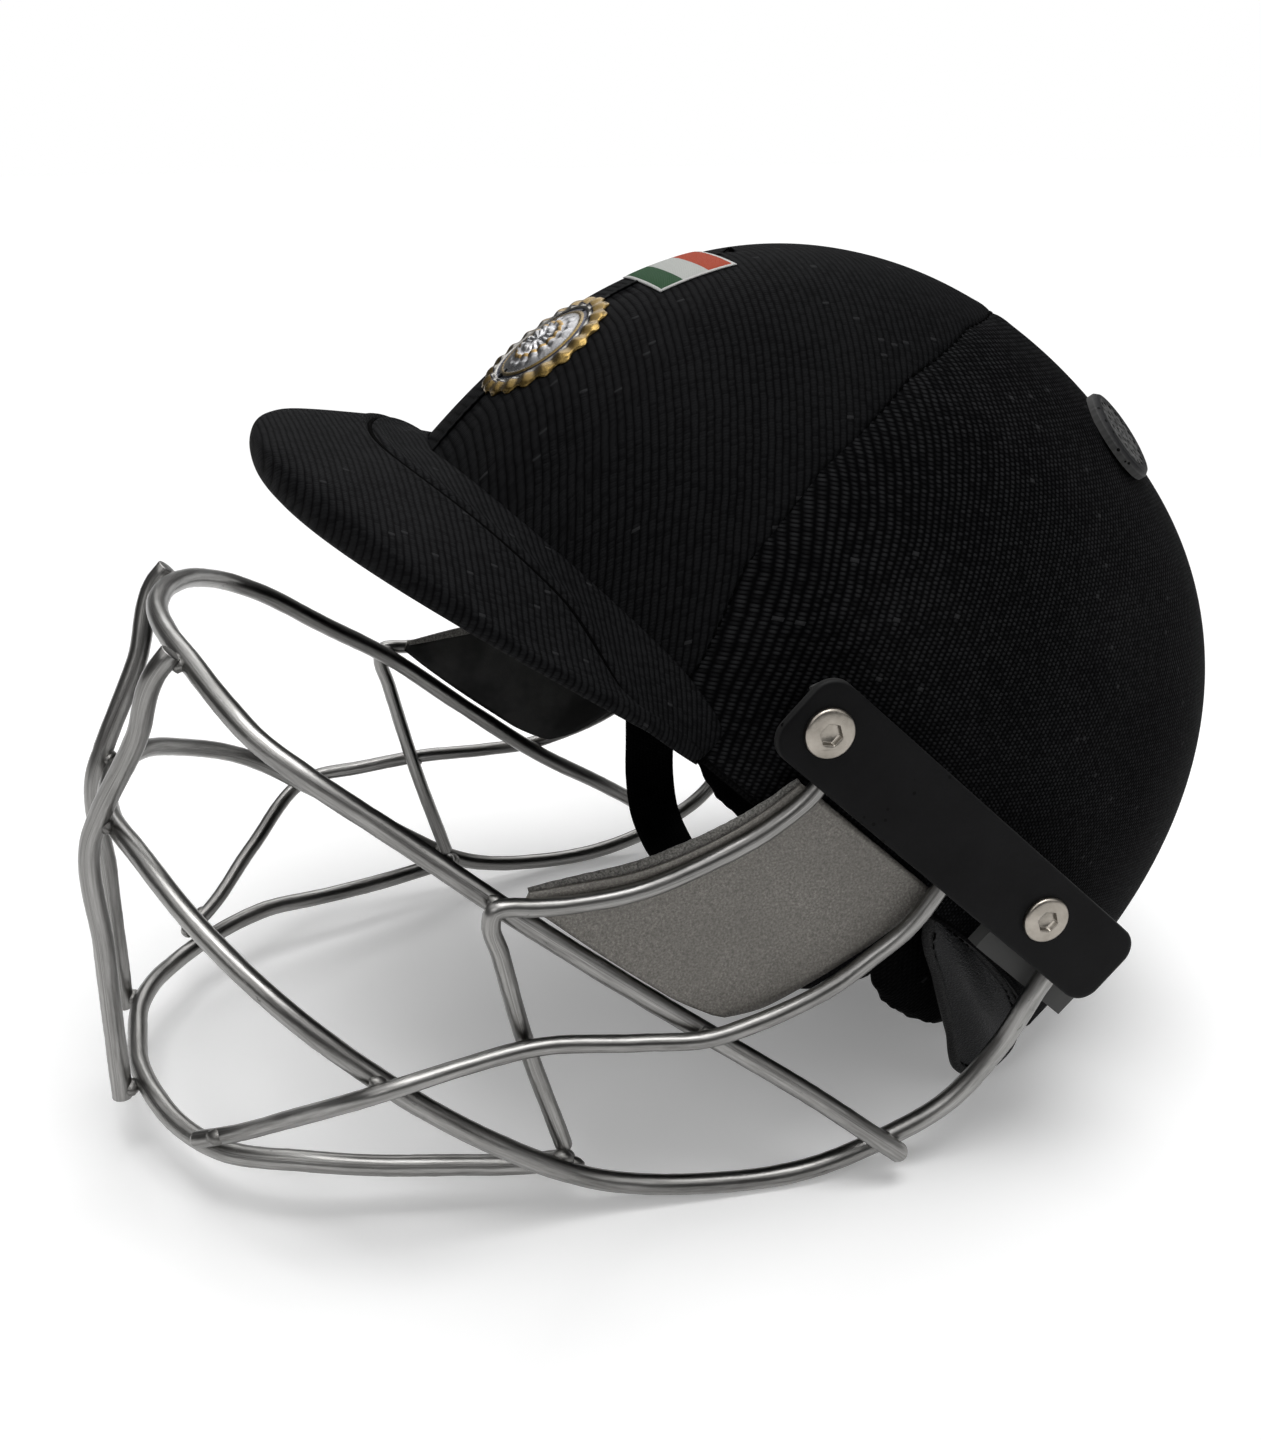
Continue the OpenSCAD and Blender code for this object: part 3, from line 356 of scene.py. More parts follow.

# Leather: small cells with creases between them; the crease output is used to paint the creases darker, as
# shade
tree, i, o = group("leather_grain", [("Scale", 900.0)], ["Height", "Painted_crease_shade"])
spot = add(tree, "TexCoord").outputs["Object"]
cells = add(tree, "TexVoronoi", {"Vector": spot, "Scale": i["Scale"]},
            feature="DISTANCE_TO_EDGE").outputs["Distance"]
soft = add(tree, "TexNoise", {"Vector": spot, "Scale": 60.0, "Detail": 4.0}).outputs["Fac"]
raised = calc(tree, "MULTIPLY", cells, 3.0, clamp=True)
tree.links.new(calc(tree, "ADD", raised, calc(tree, "MULTIPLY", soft, 0.6)), o["Height"])
tree.links.new(calc(tree, "SUBTRACT", 1.0, raised), o["Painted_crease_shade"])

# Webbing: a plain weave of flat yarns; the light-and-shade output paints the top of each yarn lighter as a
# painted highlight and the gaps darker as painted shade
tree, i, o = group("band_weave", [("UV", None), ("Pitch", 0.0012)], ["Height", "Light"])
xyz = add(tree, "SeparateXYZ", {0: i["UV"]})
u = calc(tree, "DIVIDE", xyz.outputs[0], i["Pitch"])
v = calc(tree, "ADD", calc(tree, "DIVIDE", xyz.outputs[1], i["Pitch"]),
         calc(tree, "MULTIPLY", calc(tree, "FLOOR", u), 0.5))
yarn = calc(tree, "MULTIPLY",
            calc(tree, "SINE", calc(tree, "MULTIPLY", calc(tree, "PINGPONG", u, 0.5), math.pi)),
            calc(tree, "SINE", calc(tree, "MULTIPLY", calc(tree, "PINGPONG", v, 0.5), math.pi)))
tree.links.new(yarn, o["Height"])
tree.links.new(calc(tree, "MULTIPLY", yarn,
                    add(tree, "TexNoise", {"Vector": i["UV"], "Scale": 160.0}).outputs["Fac"]), o["Light"])
print("groups:", len(bpy.data.node_groups))

# %% [markdown]
# The finishes. Black cloth is never quite black: it is a very dark grey with its weave picked out by painted
# highlights on the yarn crests and painted shade between them, and a soft sheen. Raw steel is mid grey with
# streaks along each bar.
# Each value below was set against the photograph.

# %% Finishes
def cloth_finish(name, weave, dark, light, depth, sheen=0.004, **scales):
    made, tree, sockets = material(name, Roughness=0.65,
                                   **{"Sheen Weight": sheen, "Sheen Roughness": 0.4,
                                      "Sheen Tint": (0.55, 0.56, 0.58, 1), "Specular IOR Level": 0.012})
    uv = add(tree, "UVMap", uv_map="cloth").outputs[0]
    made_of = place(tree, weave, UV=uv, **scales)
    mottle = place(tree, "mottle", Large=22.0, Small=700.0)
    # The weave's light-and-shade output, varied by random patches, picks the colour: painted highlight on
    # the crests, painted shade in the grooves
    level = calc(tree, "MULTIPLY", made_of["Light"], calc(tree, "ADD", 0.5, mottle["Patches"]))
    colour = ramp(tree, level, [(0.0, dark), (0.85, light)])
    if "Speck" in made_of.keys():
        colour = blend_colour(tree, calc(tree, "MULTIPLY", made_of["Speck"], 0.3), colour,
                              (0.05, 0.05, 0.052))
    colour = blend_colour(tree, calc(tree, "MULTIPLY", mottle["Dust"], 0.05), colour, (0.06, 0.06, 0.06))
    tree.links.new(colour, sockets["Base Color"])
    height = calc(tree, "ADD", made_of["Height"], calc(tree, "MULTIPLY", mottle["Grain"], 0.5))
    bump(tree, height, depth, sockets)
    return made


ribbed = cloth_finish("ribbed_cloth", "ribbed_weave", (0.0016, 0.0016, 0.0018), (0.0082, 0.0084, 0.009),
                      0.00028)
peak_cloth = cloth_finish("peak_cloth", "ribbed_weave", (0.0016, 0.0016, 0.0018), (0.0105, 0.0107, 0.0114),
                          0.00024, Pitch=0.0016, Stitch=0.0011)
knit = cloth_finish("knit_cloth", "knit_mesh", (0.001, 0.001, 0.0012), (0.0165, 0.0168, 0.0178), 0.00024)
pad_cloth = cloth_finish("pad_cloth", "knit_mesh", (0.0008, 0.0008, 0.0009), (0.003, 0.003, 0.0032), 0.0003,
                         sheen=0.0, Pitch=0.0014)
webbing = cloth_finish("webbing", "band_weave", (0.0008, 0.0008, 0.0009), (0.007, 0.007, 0.0075), 0.00025,
                       sheen=0.0, Pitch=0.0014)


def steel_finish(name, low, high, rough, uv=True):
    made, tree, sockets = material(name, Metallic=1.0)
    where = add(tree, "UVMap", uv_map="cloth").outputs[0] if uv else add(tree, "TexCoord").outputs["Object"]
    steel = place(tree, "drawn_steel", UV=where)
    colour = ramp(tree, steel["Streak"], [(0.36, low), (0.62, high)])
    dull = calc(tree, "MULTIPLY", steel["Spot"], 0.85)
    tree.links.new(blend_colour(tree, dull, colour, (0.04, 0.037, 0.034)), sockets["Base Color"])
    tree.links.new(calc(tree, "ADD", rough, calc(tree, "MULTIPLY", steel["Streak"], 0.22)),
                   sockets["Roughness"])
    bump(tree, calc(tree, "ADD", steel["Grain"], calc(tree, "MULTIPLY", steel["Spot"], -0.8)), 0.00006,
         sockets)
    return made


wire_steel = steel_finish("wire_steel", (0.13, 0.127, 0.122), (0.36, 0.355, 0.345), 0.2)
weld_steel = steel_finish("weld_steel", (0.1, 0.098, 0.093), (0.27, 0.265, 0.255), 0.3, uv=False)
black_steel = steel_finish("black_steel", (0.006, 0.006, 0.006), (0.03, 0.029, 0.028), 0.4, uv=False)

bright, tree, sockets = material("bright_screws", Metallic=1.0)
wear = place(tree, "scuffs", Scale=260.0, Amount=0.6)
grain = place(tree, "mottle", Large=120.0, Small=900.0)
tree.links.new(
    blend_colour(tree, calc(tree, "MULTIPLY", wear["Scratch"], 0.5),
                 ramp(tree, grain["Patches"], [(0.3, (0.24, 0.22, 0.19)), (0.7, (0.42, 0.385, 0.34))]),
                 (0.1, 0.09, 0.08)), sockets["Base Color"])
tree.links.new(calc(tree, "ADD", 0.2, calc(tree, "MULTIPLY", grain["Grain"], 0.22)), sockets["Roughness"])
bump(tree, grain["Grain"], 0.00004, sockets)

plate_metal, tree, sockets = material("plate_metal", Metallic=0.35, **{"Specular IOR Level": 0.5})
grain = place(tree, "mottle", Large=45.0, Small=1500.0)
wear = place(tree, "scuffs", Scale=180.0, Amount=0.25)
colour = ramp(tree, grain["Grain"],
              [(0.34, (0.102, 0.096, 0.085)), (0.52, (0.183, 0.172, 0.155)), (0.7, (0.31, 0.295, 0.268))])
worn = calc(tree, "MULTIPLY", calc(tree, "SUBTRACT", grain["Patches"], 0.4, clamp=True), 1.2)
colour = blend_colour(tree, worn, colour, (0.13, 0.122, 0.11))
tree.links.new(blend_colour(tree, calc(tree, "MULTIPLY", wear["Scratch"], 0.25), colour,
                            (0.27, 0.26, 0.235)), sockets["Base Color"])
tree.links.new(calc(tree, "ADD", 0.32, calc(tree, "MULTIPLY", grain["Grain"], 0.25)), sockets["Roughness"])
bump(tree, grain["Grain"], 0.00022, sockets)

lip_felt, tree, sockets = material("lip_felt", Roughness=0.95,
                                   **{"Specular IOR Level": 0.1, "Sheen Weight": 0.1})
grain = place(tree, "mottle", Large=90.0, Small=1700.0)
tree.links.new(ramp(tree, grain["Grain"],
                    [(0.34, (0.06, 0.058, 0.053)), (0.5, (0.15, 0.145, 0.135)), (0.68, (0.3, 0.29, 0.27))]),
               sockets["Base Color"])
bump(tree, grain["Grain"], 0.0005, sockets)

# Painted shade: the plate's inner face, inside the helmet, gets a much darker finish than its outer face, in
# cloudy patches, with dust
plate_inside_painted_shade, tree, sockets = material("plate_inside_painted_shade", **{"Specular IOR Level": 0.2})
grain = place(tree, "mottle", Large=24.0, Small=1300.0)
cloudy = ramp(tree, grain["Patches"], [(0.38, (0.005, 0.005, 0.005)), (0.62, (0.03, 0.03, 0.029))],
              smooth=True)
tree.links.new(blend_colour(tree, calc(tree, "MULTIPLY", grain["Dust"], 0.3), cloudy, (0.06, 0.058, 0.054)),
               sockets["Base Color"])
tree.links.new(calc(tree, "ADD", 0.35, calc(tree, "MULTIPLY", grain["Grain"], 0.3)), sockets["Roughness"])
bump(tree, grain["Grain"], 0.0001, sockets)


def plastic_finish(name, dark, light, rough, scratch=0.3, pits=True):
    made, tree, sockets = material(name, **{"Specular IOR Level": 0.06})
    grain = place(tree, "mottle", Large=30.0, Small=1100.0)
    wear = place(tree, "scuffs", Scale=200.0, Amount=scratch)
    # Painted highlight: sharp edges, found from the mesh's pointiness, are painted paler
    edge = add(tree, "NewGeometry").outputs["Pointiness"]
    edge_highlight = calc(tree, "MULTIPLY", calc(tree, "SUBTRACT", edge, 0.53, clamp=True), 9.0, clamp=True)
    colour = ramp(tree, grain["Patches"], [(0.3, dark), (0.7, light)])
    colour = blend_colour(tree, calc(tree, "MULTIPLY", wear["Scratch"], 0.4), colour, (0.05, 0.05, 0.05))
    colour = blend_colour(tree, calc(tree, "MULTIPLY", edge_highlight, 0.8), colour, (0.13, 0.13, 0.128))
    if pits:
        colour = blend_colour(tree, wear["Pit"], colour, (0.0015, 0.0015, 0.0015))
    tree.links.new(colour, sockets["Base Color"])
    tree.links.new(calc(tree, "ADD", rough, calc(tree, "MULTIPLY", grain["Grain"], 0.25)),
                   sockets["Roughness"])
    height = calc(tree, "SUBTRACT", grain["Grain"], calc(tree, "MULTIPLY", wear["Scratch"], 0.8))
    bump(tree, height, 0.00006, sockets)
    return made


strip_plastic = plastic_finish("strip_plastic", (0.004, 0.004, 0.0042), (0.0085, 0.0085, 0.009), 0.34)
slider_plastic = plastic_finish("slider_plastic", (0.002, 0.002, 0.0022), (0.005, 0.005, 0.0055), 0.3, 0.2)
vent_plastic = plastic_finish("vent_plastic", (0.016, 0.016, 0.017), (0.03, 0.03, 0.031), 0.38, 0.25)
shell_plastic = plastic_finish("shell_plastic", (0.003, 0.003, 0.0033), (0.007, 0.007, 0.0075), 0.35, 0.3)
spacer_rubber = plastic_finish("spacer_rubber", (0.002, 0.002, 0.002), (0.005, 0.005, 0.005), 0.6, 0.2)

foam, tree, sockets = material("liner_foam", **{"Specular IOR Level": 0.12})
beads = add(tree, "TexVoronoi", {"Vector": add(tree, "TexCoord").outputs["Object"], "Scale": 330.0},
            feature="DISTANCE_TO_EDGE").outputs["Distance"]
grain = place(tree, "mottle", Large=25.0, Small=800.0)
# Painted shade: the hollows between the foam beads are painted darker than the beads' faces
tree.links.new(ramp(tree, beads, [(0.0, (0.0015, 0.0015, 0.0015)), (0.2, (0.008, 0.008, 0.0085))]),
               sockets["Base Color"])
tree.links.new(calc(tree, "ADD", 0.55, calc(tree, "MULTIPLY", grain["Grain"], 0.3)), sockets["Roughness"])
bump(tree, calc(tree, "MULTIPLY", beads, 3.0, clamp=True), 0.0003, sockets)


def leather_finish(name, dark, light, rough=0.42):
    made, tree, sockets = material(name, **{"Sheen Weight": 0.01, "Sheen Roughness": 0.5,
                                            "Specular IOR Level": 0.16})
    skin = place(tree, "leather_grain", Scale=950.0)
    grain = place(tree, "mottle", Large=38.0, Small=420.0)
    colour = ramp(tree, grain["Patches"], [(0.3, dark), (0.72, light)])
    # Painted shade: the creases of the grain are darkened
    colour = blend_colour(tree, calc(tree, "MULTIPLY", skin["Painted_crease_shade"], 0.45), colour,
                          tuple(0.4 * c for c in dark))
    colour = blend_colour(tree, calc(tree, "MULTIPLY", grain["Dust"], 0.15), colour, (0.06, 0.06, 0.06))
    tree.links.new(colour, sockets["Base Color"])
    tree.links.new(calc(tree, "ADD", rough, calc(tree, "MULTIPLY", grain["Grain"], 0.25)),
                   sockets["Roughness"])
    bump(tree, skin["Height"], 0.00016, sockets)
    return made


flap_leather = leather_finish("flap_leather", (0.007, 0.0072, 0.008), (0.019, 0.0195, 0.021), 0.36)
chin_leather = leather_finish("chin_leather", (0.002, 0.002, 0.0022), (0.006, 0.006, 0.0065))
thread, tree, sockets = material("thread", Roughness=0.9, **{"Specular IOR Level": 0.01})
grain = place(tree, "mottle", Large=200.0, Small=1500.0)
tree.links.new(ramp(tree, grain["Grain"], [(0.3, 0.0004), (0.7, 0.0022)]), sockets["Base Color"])
bump(tree, grain["Grain"], 0.0001, sockets)
print("materials:", len(bpy.data.materials))

# %% [markdown]
# The helmet's own frame. The dome is drawn upright: x across, l to the rear and h up, in
# millimetres. It lies tipped back by 43.5 degrees, so every piece is made upright and then
# turned into the frame's axes with one function.

# %% Upright frame and the dome's shape
TILT = math.radians(43.5)
STAND_Y, STAND_Z = 34.6, 95.2
DOME_FRONT, DOME_REAR, DOME_HALF, DOME_H = 145.0, 124.5, 97.0, 151.5


def world_of(points):
    p = np.asarray(points, float)
    x, l, h = p[..., 0], p[..., 1], p[..., 2]
    c, s = math.cos(TILT), math.sin(TILT)
    return np.stack([x, STAND_Y + l * c + h * s, STAND_Z - l * s + h * c], -1) / 1000


def plan_r(a, inset=0.0):
    """Radius of the dome in plan, at an angle from the rear."""
    c, s = np.abs(np.cos(a)), np.abs(np.sin(a))
    front = np.cos(a) < 0
    reach = np.where(front, DOME_FRONT, DOME_REAR) - inset
    n = np.where(front, 2.25, 3.3)
    return ((c / reach) ** n + (s / (DOME_HALF - inset)) ** n) ** (-1 / n)


def rim_h(a):
    """Height of the rim, which rises over each ear and drops at the nape."""
    off = (np.abs(np.degrees(np.arctan2(np.sin(a), np.cos(a)))) - 62) / 30
    return -5 - 8 * np.maximum(0, np.cos(a)) ** 2 + 9 * np.maximum(0, 1 - off * off)


def profile_n(a):
    return 2.24 + 0.09 * (1 - np.cos(a))


def dome_at(a, h, inset=0.0):
    """Point of the dome at an angle and a height."""
    n = profile_n(a)
    share = np.clip(np.maximum(h, 0) / (DOME_H - inset), 0, 1)
    r = plan_r(a, inset) * (1 - share ** n) ** (1 / n)
    return np.stack([r * np.sin(a), r * np.cos(a), h + 0 * r], -1)


def dome_x(l, h, inset=0.0):
    """Half width of the dome where the side view shows the place (l, h)."""
    low, high = np.zeros_like(l), np.full_like(l, math.pi)
    for _ in range(34):
        mid = (low + high) / 2
        further = dome_at(mid, h, inset)[..., 1] > l
        low, high = np.where(further, mid, low), np.where(further, high, mid)
    return np.abs(dome_at((low + high) / 2, h, inset)[..., 0])


def run_of(points):
    """Length along a line, from its start to each of its points."""
    return np.concatenate([[0], np.cumsum(np.linalg.norm(np.diff(points, axis=0), axis=1))])


def smooth_line(points, step):
    """Smooth curve through points with one point about every step, as the CAD's bars have."""
    p = np.asarray(points, float)
    d = np.linalg.norm(np.diff(p, axis=0), axis=1)
    unit = np.diff(p, axis=0) / d[:, None]
    tangent = [unit[0]]
    for k in range(1, len(p) - 1):
        tangent.append((unit[k - 1] * d[k] + unit[k] * d[k - 1]) / (d[k - 1] + d[k]))
    tangent.append(unit[-1])
    out = []
    for k in range(len(p) - 1):
        count = max(1, round(d[k] / step))
        for j in range(count):
            t = j / count
            out.append(p[k] * (1 + 2 * t) * (1 - t) ** 2 + tangent[k] * d[k] * t * (1 - t) ** 2
                       + p[k + 1] * t * t * (3 - 2 * t) + tangent[k + 1] * d[k] * t * t * (t - 1))
    out.append(p[-1])
    return np.array(out)


def rough(points, size, scale, seed=0.0):
    """Small even unevenness: a value for each point, from smooth noise."""
    return size * np.array([noise.noise(Vector(p) * scale + Vector((seed, 3.1 * seed, 7.7)))
                            for p in points])


def grid_faces(rows, cols, wrap=False, flip=False, start=0):
    last = cols if wrap else cols - 1
    faces = [(start + r * cols + c, start + r * cols + (c + 1) % cols,
              start + (r + 1) * cols + (c + 1) % cols, start + (r + 1) * cols + c)
             for r in range(rows - 1) for c in range(last)]
    return [f[::-1] for f in faces] if flip else faces


def slab_faces(rows, cols):
    """Faces of a slab: two grids of points back to back, closed round their border."""
    n = rows * cols
    border = ([(0, c) for c in range(cols)] + [(r, cols - 1) for r in range(1, rows)]
              + [(rows - 1, c) for c in range(cols - 2, -1, -1)] + [(r, 0) for r in range(rows - 2, 0, -1)])
    ids = [r * cols + c for r, c in border]
    sides = [(ids[k], ids[k - 1], n + ids[k - 1], n + ids[k]) for k in range(len(ids))]
    return grid_faces(rows, cols) + grid_faces(rows, cols, flip=True, start=n) + sides


def capped_faces(rings, around):
    """Faces of a form made of closed rings, with a face over its first and its last ring."""
    caps = [tuple(range(around))[::-1], tuple(range((rings - 1) * around, rings * around))]
    return grid_faces(rings, around, wrap=True) + caps


def outward(obj):
    mesh = bmesh.new()
    mesh.from_mesh(obj.data)
    bmesh.ops.recalc_face_normals(mesh, faces=mesh.faces)
    mesh.to_mesh(obj.data)
    mesh.free()
    return obj


def from_slab(name, outer, inner, uv=None):
    """Closed slab between two grids of upright points."""
    points = np.concatenate([outer.reshape(-1, 3), inner.reshape(-1, 3)])
    return outward(build(name, world_of(points), slab_faces(*outer.shape[:2]), uv))


def from_rings(name, rings, turn=lambda p: p, uv=None):
    """Closed form from rings of points, which turn takes to the upright frame."""
    rings = np.asarray(rings)
    return outward(build(name, world_of(turn(rings.reshape(-1, 3))), capped_faces(*rings.shape[:2]), uv))


def normals_of(grid):
    """Unit normals of a grid of points, shape (rows, cols, 3)."""
    du, dv = np.gradient(grid, axis=0), np.gradient(grid, axis=1)
    n = np.cross(du, dv)
    return n / np.maximum(np.linalg.norm(n, axis=-1, keepdims=True), 1e-9)


def finish(obj, body, slot_name, finish_material, *cad_nodes):
    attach(obj, body)
    if cad_nodes:
        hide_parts(*cad_nodes)
    obj.data.materials.clear()
    obj.data.materials.append(finish_material)
    return obj


print("dome: %.0f mm wide at the rim" % (2 * plan_r(math.pi / 2)))

# %% [markdown]
# The cover is two panels of black stretch cloth pulled over the shell: a ribbed front and a
# knitted rest, joined by a seam from ear to ear over the crown. The seam's line is drawn in
# the side view. Each panel is a set of arches across the helmet that change evenly from the
# seam's shape to the rim's, so the cloth ends exactly on the seam.

# %% Cover cloth
SEAM = np.array([[-88, -14], [-88, 14], [-93, 40], [-90, 70], [-80, 105], [-66, 130], [-54, 142],
                 [-45.4, 147.66]], float)


def ridges(p):
    """Soft folds that run up and forward from the strip's front end, where the cloth is drawn tight."""
    l, h = p[..., 1] + 62, p[..., 2] - 30
    far = np.hypot(l, h)
    turn = np.degrees(np.arctan2(h, -l))
    near = np.clip(far / 12, 0, 1) * np.exp(-(far / 46) ** 2) * (np.abs(p[..., 0]) > 30)
    out = 0
    for at, wide, tall in ((62, 9, 2.3), (92, 8, 1.8), (36, 8, 1.7), (120, 9, 1.2)):
        out = out + tall * np.exp(-((turn - at) / wide) ** 2)
    return out * near


seam_top, seam_foot = SEAM[-1], SEAM[0].copy()
seam_a = math.atan2(plan_r(math.radians(118)) * math.sin(math.radians(118)), -88)
seam_foot[1] = float(rim_h(np.array(seam_a)))


def seam_bend(share):
    """How far the seam's line leaves the straight chord, along its height."""
    chord = seam_top + (seam_foot - seam_top) * share[:, None]
    return np.stack([np.interp(chord[:, 1], SEAM[:, 1], SEAM[:, 0]) - chord[:, 0], 0 * share], -1)


def crown_line(front, rows):
    """Points down the middle of the dome from the seam to the rim, evenly spaced."""
    a = math.pi if front else 0.0
    h = np.concatenate([DOME_H * np.sin(np.linspace(math.pi / 2, 0, 400)),
                        np.linspace(-0.2, float(rim_h(np.array(a))), 20)])
    p = dome_at(np.full_like(h, a), h)[:, 1:]
    if front:
        p = p[p[:, 0] < seam_top[0]]
        p = np.vstack([seam_top, p])
    else:
        ahead = dome_at(np.full(60, math.pi),
                        DOME_H * np.sin(np.linspace(math.radians(60), math.pi / 2, 60)))[:, 1:]
        ahead = ahead[ahead[:, 0] > seam_top[0]]
        p = np.vstack([seam_top, ahead, p])
    d = run_of(p)
    at = np.linspace(0, d[-1], rows)
    return np.stack([np.interp(at, d, p[:, 0]), np.interp(at, d, p[:, 1])], -1), d[-1]


def cover(name, front, rows, cols):
    tops, length = crown_line(front, rows)
    end = math.pi if front else 0.0
    psi = np.linspace(0, math.pi / 2, cols)
    share = 1 - np.cos(psi)
    half = []
    for k, top in enumerate(tops):
        v = k / (rows - 1)
        angle = np.array(seam_a + (end - seam_a) * v)
        foot = np.array([plan_r(angle) * math.cos(angle), float(rim_h(angle))])
        line = top + (foot - top) * share[:, None] + seam_bend(share) * (1 - v) ** 1.5
        x = dome_x(line[:, 0], line[:, 1])
        x[0] = 0
        x[-1] = plan_r(angle) * math.sin(angle)
        half.append(np.stack([x, line[:, 0], line[:, 1]], -1))
    half = np.array(half)
    grid = np.concatenate([half[:, ::-1], half[:, 1:] * [-1, 1, 1]], axis=1)
    arc = np.concatenate([np.zeros((rows, 1)),
                          np.cumsum(np.linalg.norm(np.diff(half, axis=1), axis=2), axis=1)], axis=1)
    arc = np.concatenate([arc[:, ::-1], arc[:, 1:]], axis=1)
    if front:
        u = 0.857 * grid[..., 1] + 0.514 * grid[..., 2]
    else:
        u = 0.707 * (grid[..., 1] - grid[..., 2])
    out = normals_of(grid) * (1 if front else -1)
    if np.mean(np.sum(out * (grid - [0, 0, 20]), -1)) < 0:
        out = -out
    from_seam = np.linspace(0, length, rows)[:, None] * np.ones_like(u)
    dip = -0.55 * np.exp(-(from_seam / 1.6) ** 2) + 0.12 * np.exp(-((from_seam - 4.5) / 2.2) ** 2)
    lift = 0.05 + dip + ridges(grid)
    outer = grid + out * lift[..., None]
    inner = grid - out * 0.9
    uv = np.stack([u, arc], -1).reshape(-1, 2) / 1000
    obj = from_slab(name, outer, inner, np.concatenate([uv, uv]))
    area = float(np.linalg.norm(np.cross(np.gradient(grid, axis=0), np.gradient(grid, axis=1)),
                                axis=-1).sum()) / 1e6
    return obj, grid, area


front_cloth, front_grid, front_area = cover("front_panel_cloth", True, 110, 90)
side_cloth, side_grid, side_area = cover("side_panel_cloth", False, 220, 110)
finish(front_cloth, "helmet", "ribbed_cloth", ribbed, "front_cover")
finish(side_cloth, "helmet", "knit_cloth", knit, "side_cover")
print("cover: %.3f and %.3f square metres of cloth" % (front_area, side_area))

# %% [markdown]
# Down the seam runs a row of small sunk stitches, and round the rim the cloth is turned under
# over a cord, which shows as a thin rolled hem.

# %% Tubes, stitches and the hem
def tube(name, line, radius, sides=16, caps="round", closed=False, seed=None, flat=1.0):
    """Round bar along a line of points in upright millimetres, with domed or cut ends."""
    p = np.asarray(line, float)
    count = len(p)
    t = np.roll(p, -1, 0) - np.roll(p, 1, 0) if closed else np.gradient(p, axis=0)
    t /= np.linalg.norm(t, axis=1, keepdims=True)
    n = np.cross(t[0], [0.1, 0.2, 1.0])
    frames = []
    for k in range(count):
        n = n - t[k] * np.dot(n, t[k])
        n /= np.linalg.norm(n)
        frames.append((n, np.cross(t[k], n)))
    radii = np.broadcast_to(np.asarray(radius, float), (count,)).copy()
    if seed is not None:
        radii = radii * (1 + rough(p, 0.035, 0.11, seed))
    along = run_of(p)
    rows, vs = [], []
    a = np.linspace(0, 2 * math.pi, sides, endpoint=False)

    def ring_at(centre, k, r):
        n, b = frames[k]
        return centre + r * (np.cos(a)[:, None] * n + flat * np.sin(a)[:, None] * b)

    def end(k, sign):
        made = []
        steps = (0.15, 0.5, 0.8, 0.96) if caps == "round" else (0.86, 0.96)
        for s in steps:
            if caps == "round":
                made.append((p[k] + t[k] * sign * radii[k] * math.cos(math.asin(min(1, s))) * 0.8,
                             radii[k] * s))
            else:
                made.append((p[k] + t[k] * sign * (0.25 if s < 0.9 else 0.18), radii[k] * s))
        return made
    if not closed:
        for centre, r in end(0, -1):
            rows.append(ring_at(centre, 0, r))
            vs.append(-1.0)
    for k in range(count):
        rows.append(ring_at(p[k], k, radii[k]))
        vs.append(along[k])
    if not closed:
        for centre, r in reversed(end(count - 1, 1)):
            rows.append(ring_at(centre, count - 1, r))
            vs.append(along[-1] + 1.0)
    rows = np.array(rows)
    if seed is not None:
        flatrows = rows.reshape(-1, 3)
        centre = np.repeat(rows.mean(axis=1), sides, axis=0)
        away = flatrows - centre
        flatrows = centre + away * (1 + rough(flatrows, 0.03, 0.5, seed + 5))[:, None]
        rows = flatrows.reshape(rows.shape)
    total = len(rows)
    points = rows.reshape(-1, 3)
    faces = grid_faces(total, sides, wrap=True, flip=True)
    if closed:
        last = (total - 1) * sides
        faces += [(i, (i + 1) % sides, last + (i + 1) % sides, last + i) for i in range(sides)]
    else:
        faces += [tuple(range(sides)), tuple(range(total * sides - 1, (total - 1) * sides - 1, -1))]
    mean = float(np.mean(radii))
    uv = np.array([(mean * 2 * math.pi * s / sides, v) for v in vs for s in range(sides)]) / 1000
    return outward(build(name, world_of(points), faces, uv))


def join(name, objects):
    """One object from several, for a run of stitches or welds."""
    mesh = bmesh.new()
    for o in objects:
        mesh.from_mesh(o.data)
        bpy.data.objects.remove(o)
    data = bpy.data.meshes.new(name)
    mesh.to_mesh(data)
    mesh.free()
    obj = bpy.data.objects.new(name, data)
    bpy.context.collection.objects.link(obj)
    return obj


def stitches(name, line, out, length, gap, radius=0.28):
    """Short raised threads along a line, each a small bar that dips at its ends."""
    p = np.asarray(line, float)
    d = run_of(p)
    made = []
    at = gap
    while at + length < d[-1]:
        s = np.linspace(at, at + length, 5)
        q = np.stack([np.interp(s, d, p[:, k]) for k in range(3)], -1)
        o = np.stack([np.interp(s, d, out[:, k]) for k in range(3)], -1)
        q = q + o * (np.array([-0.25, 0.12, 0.2, 0.12, -0.25])[:, None])
        made.append(tube("stitch", q, radius, sides=6))
        at += length + gap
    return join(name, made)


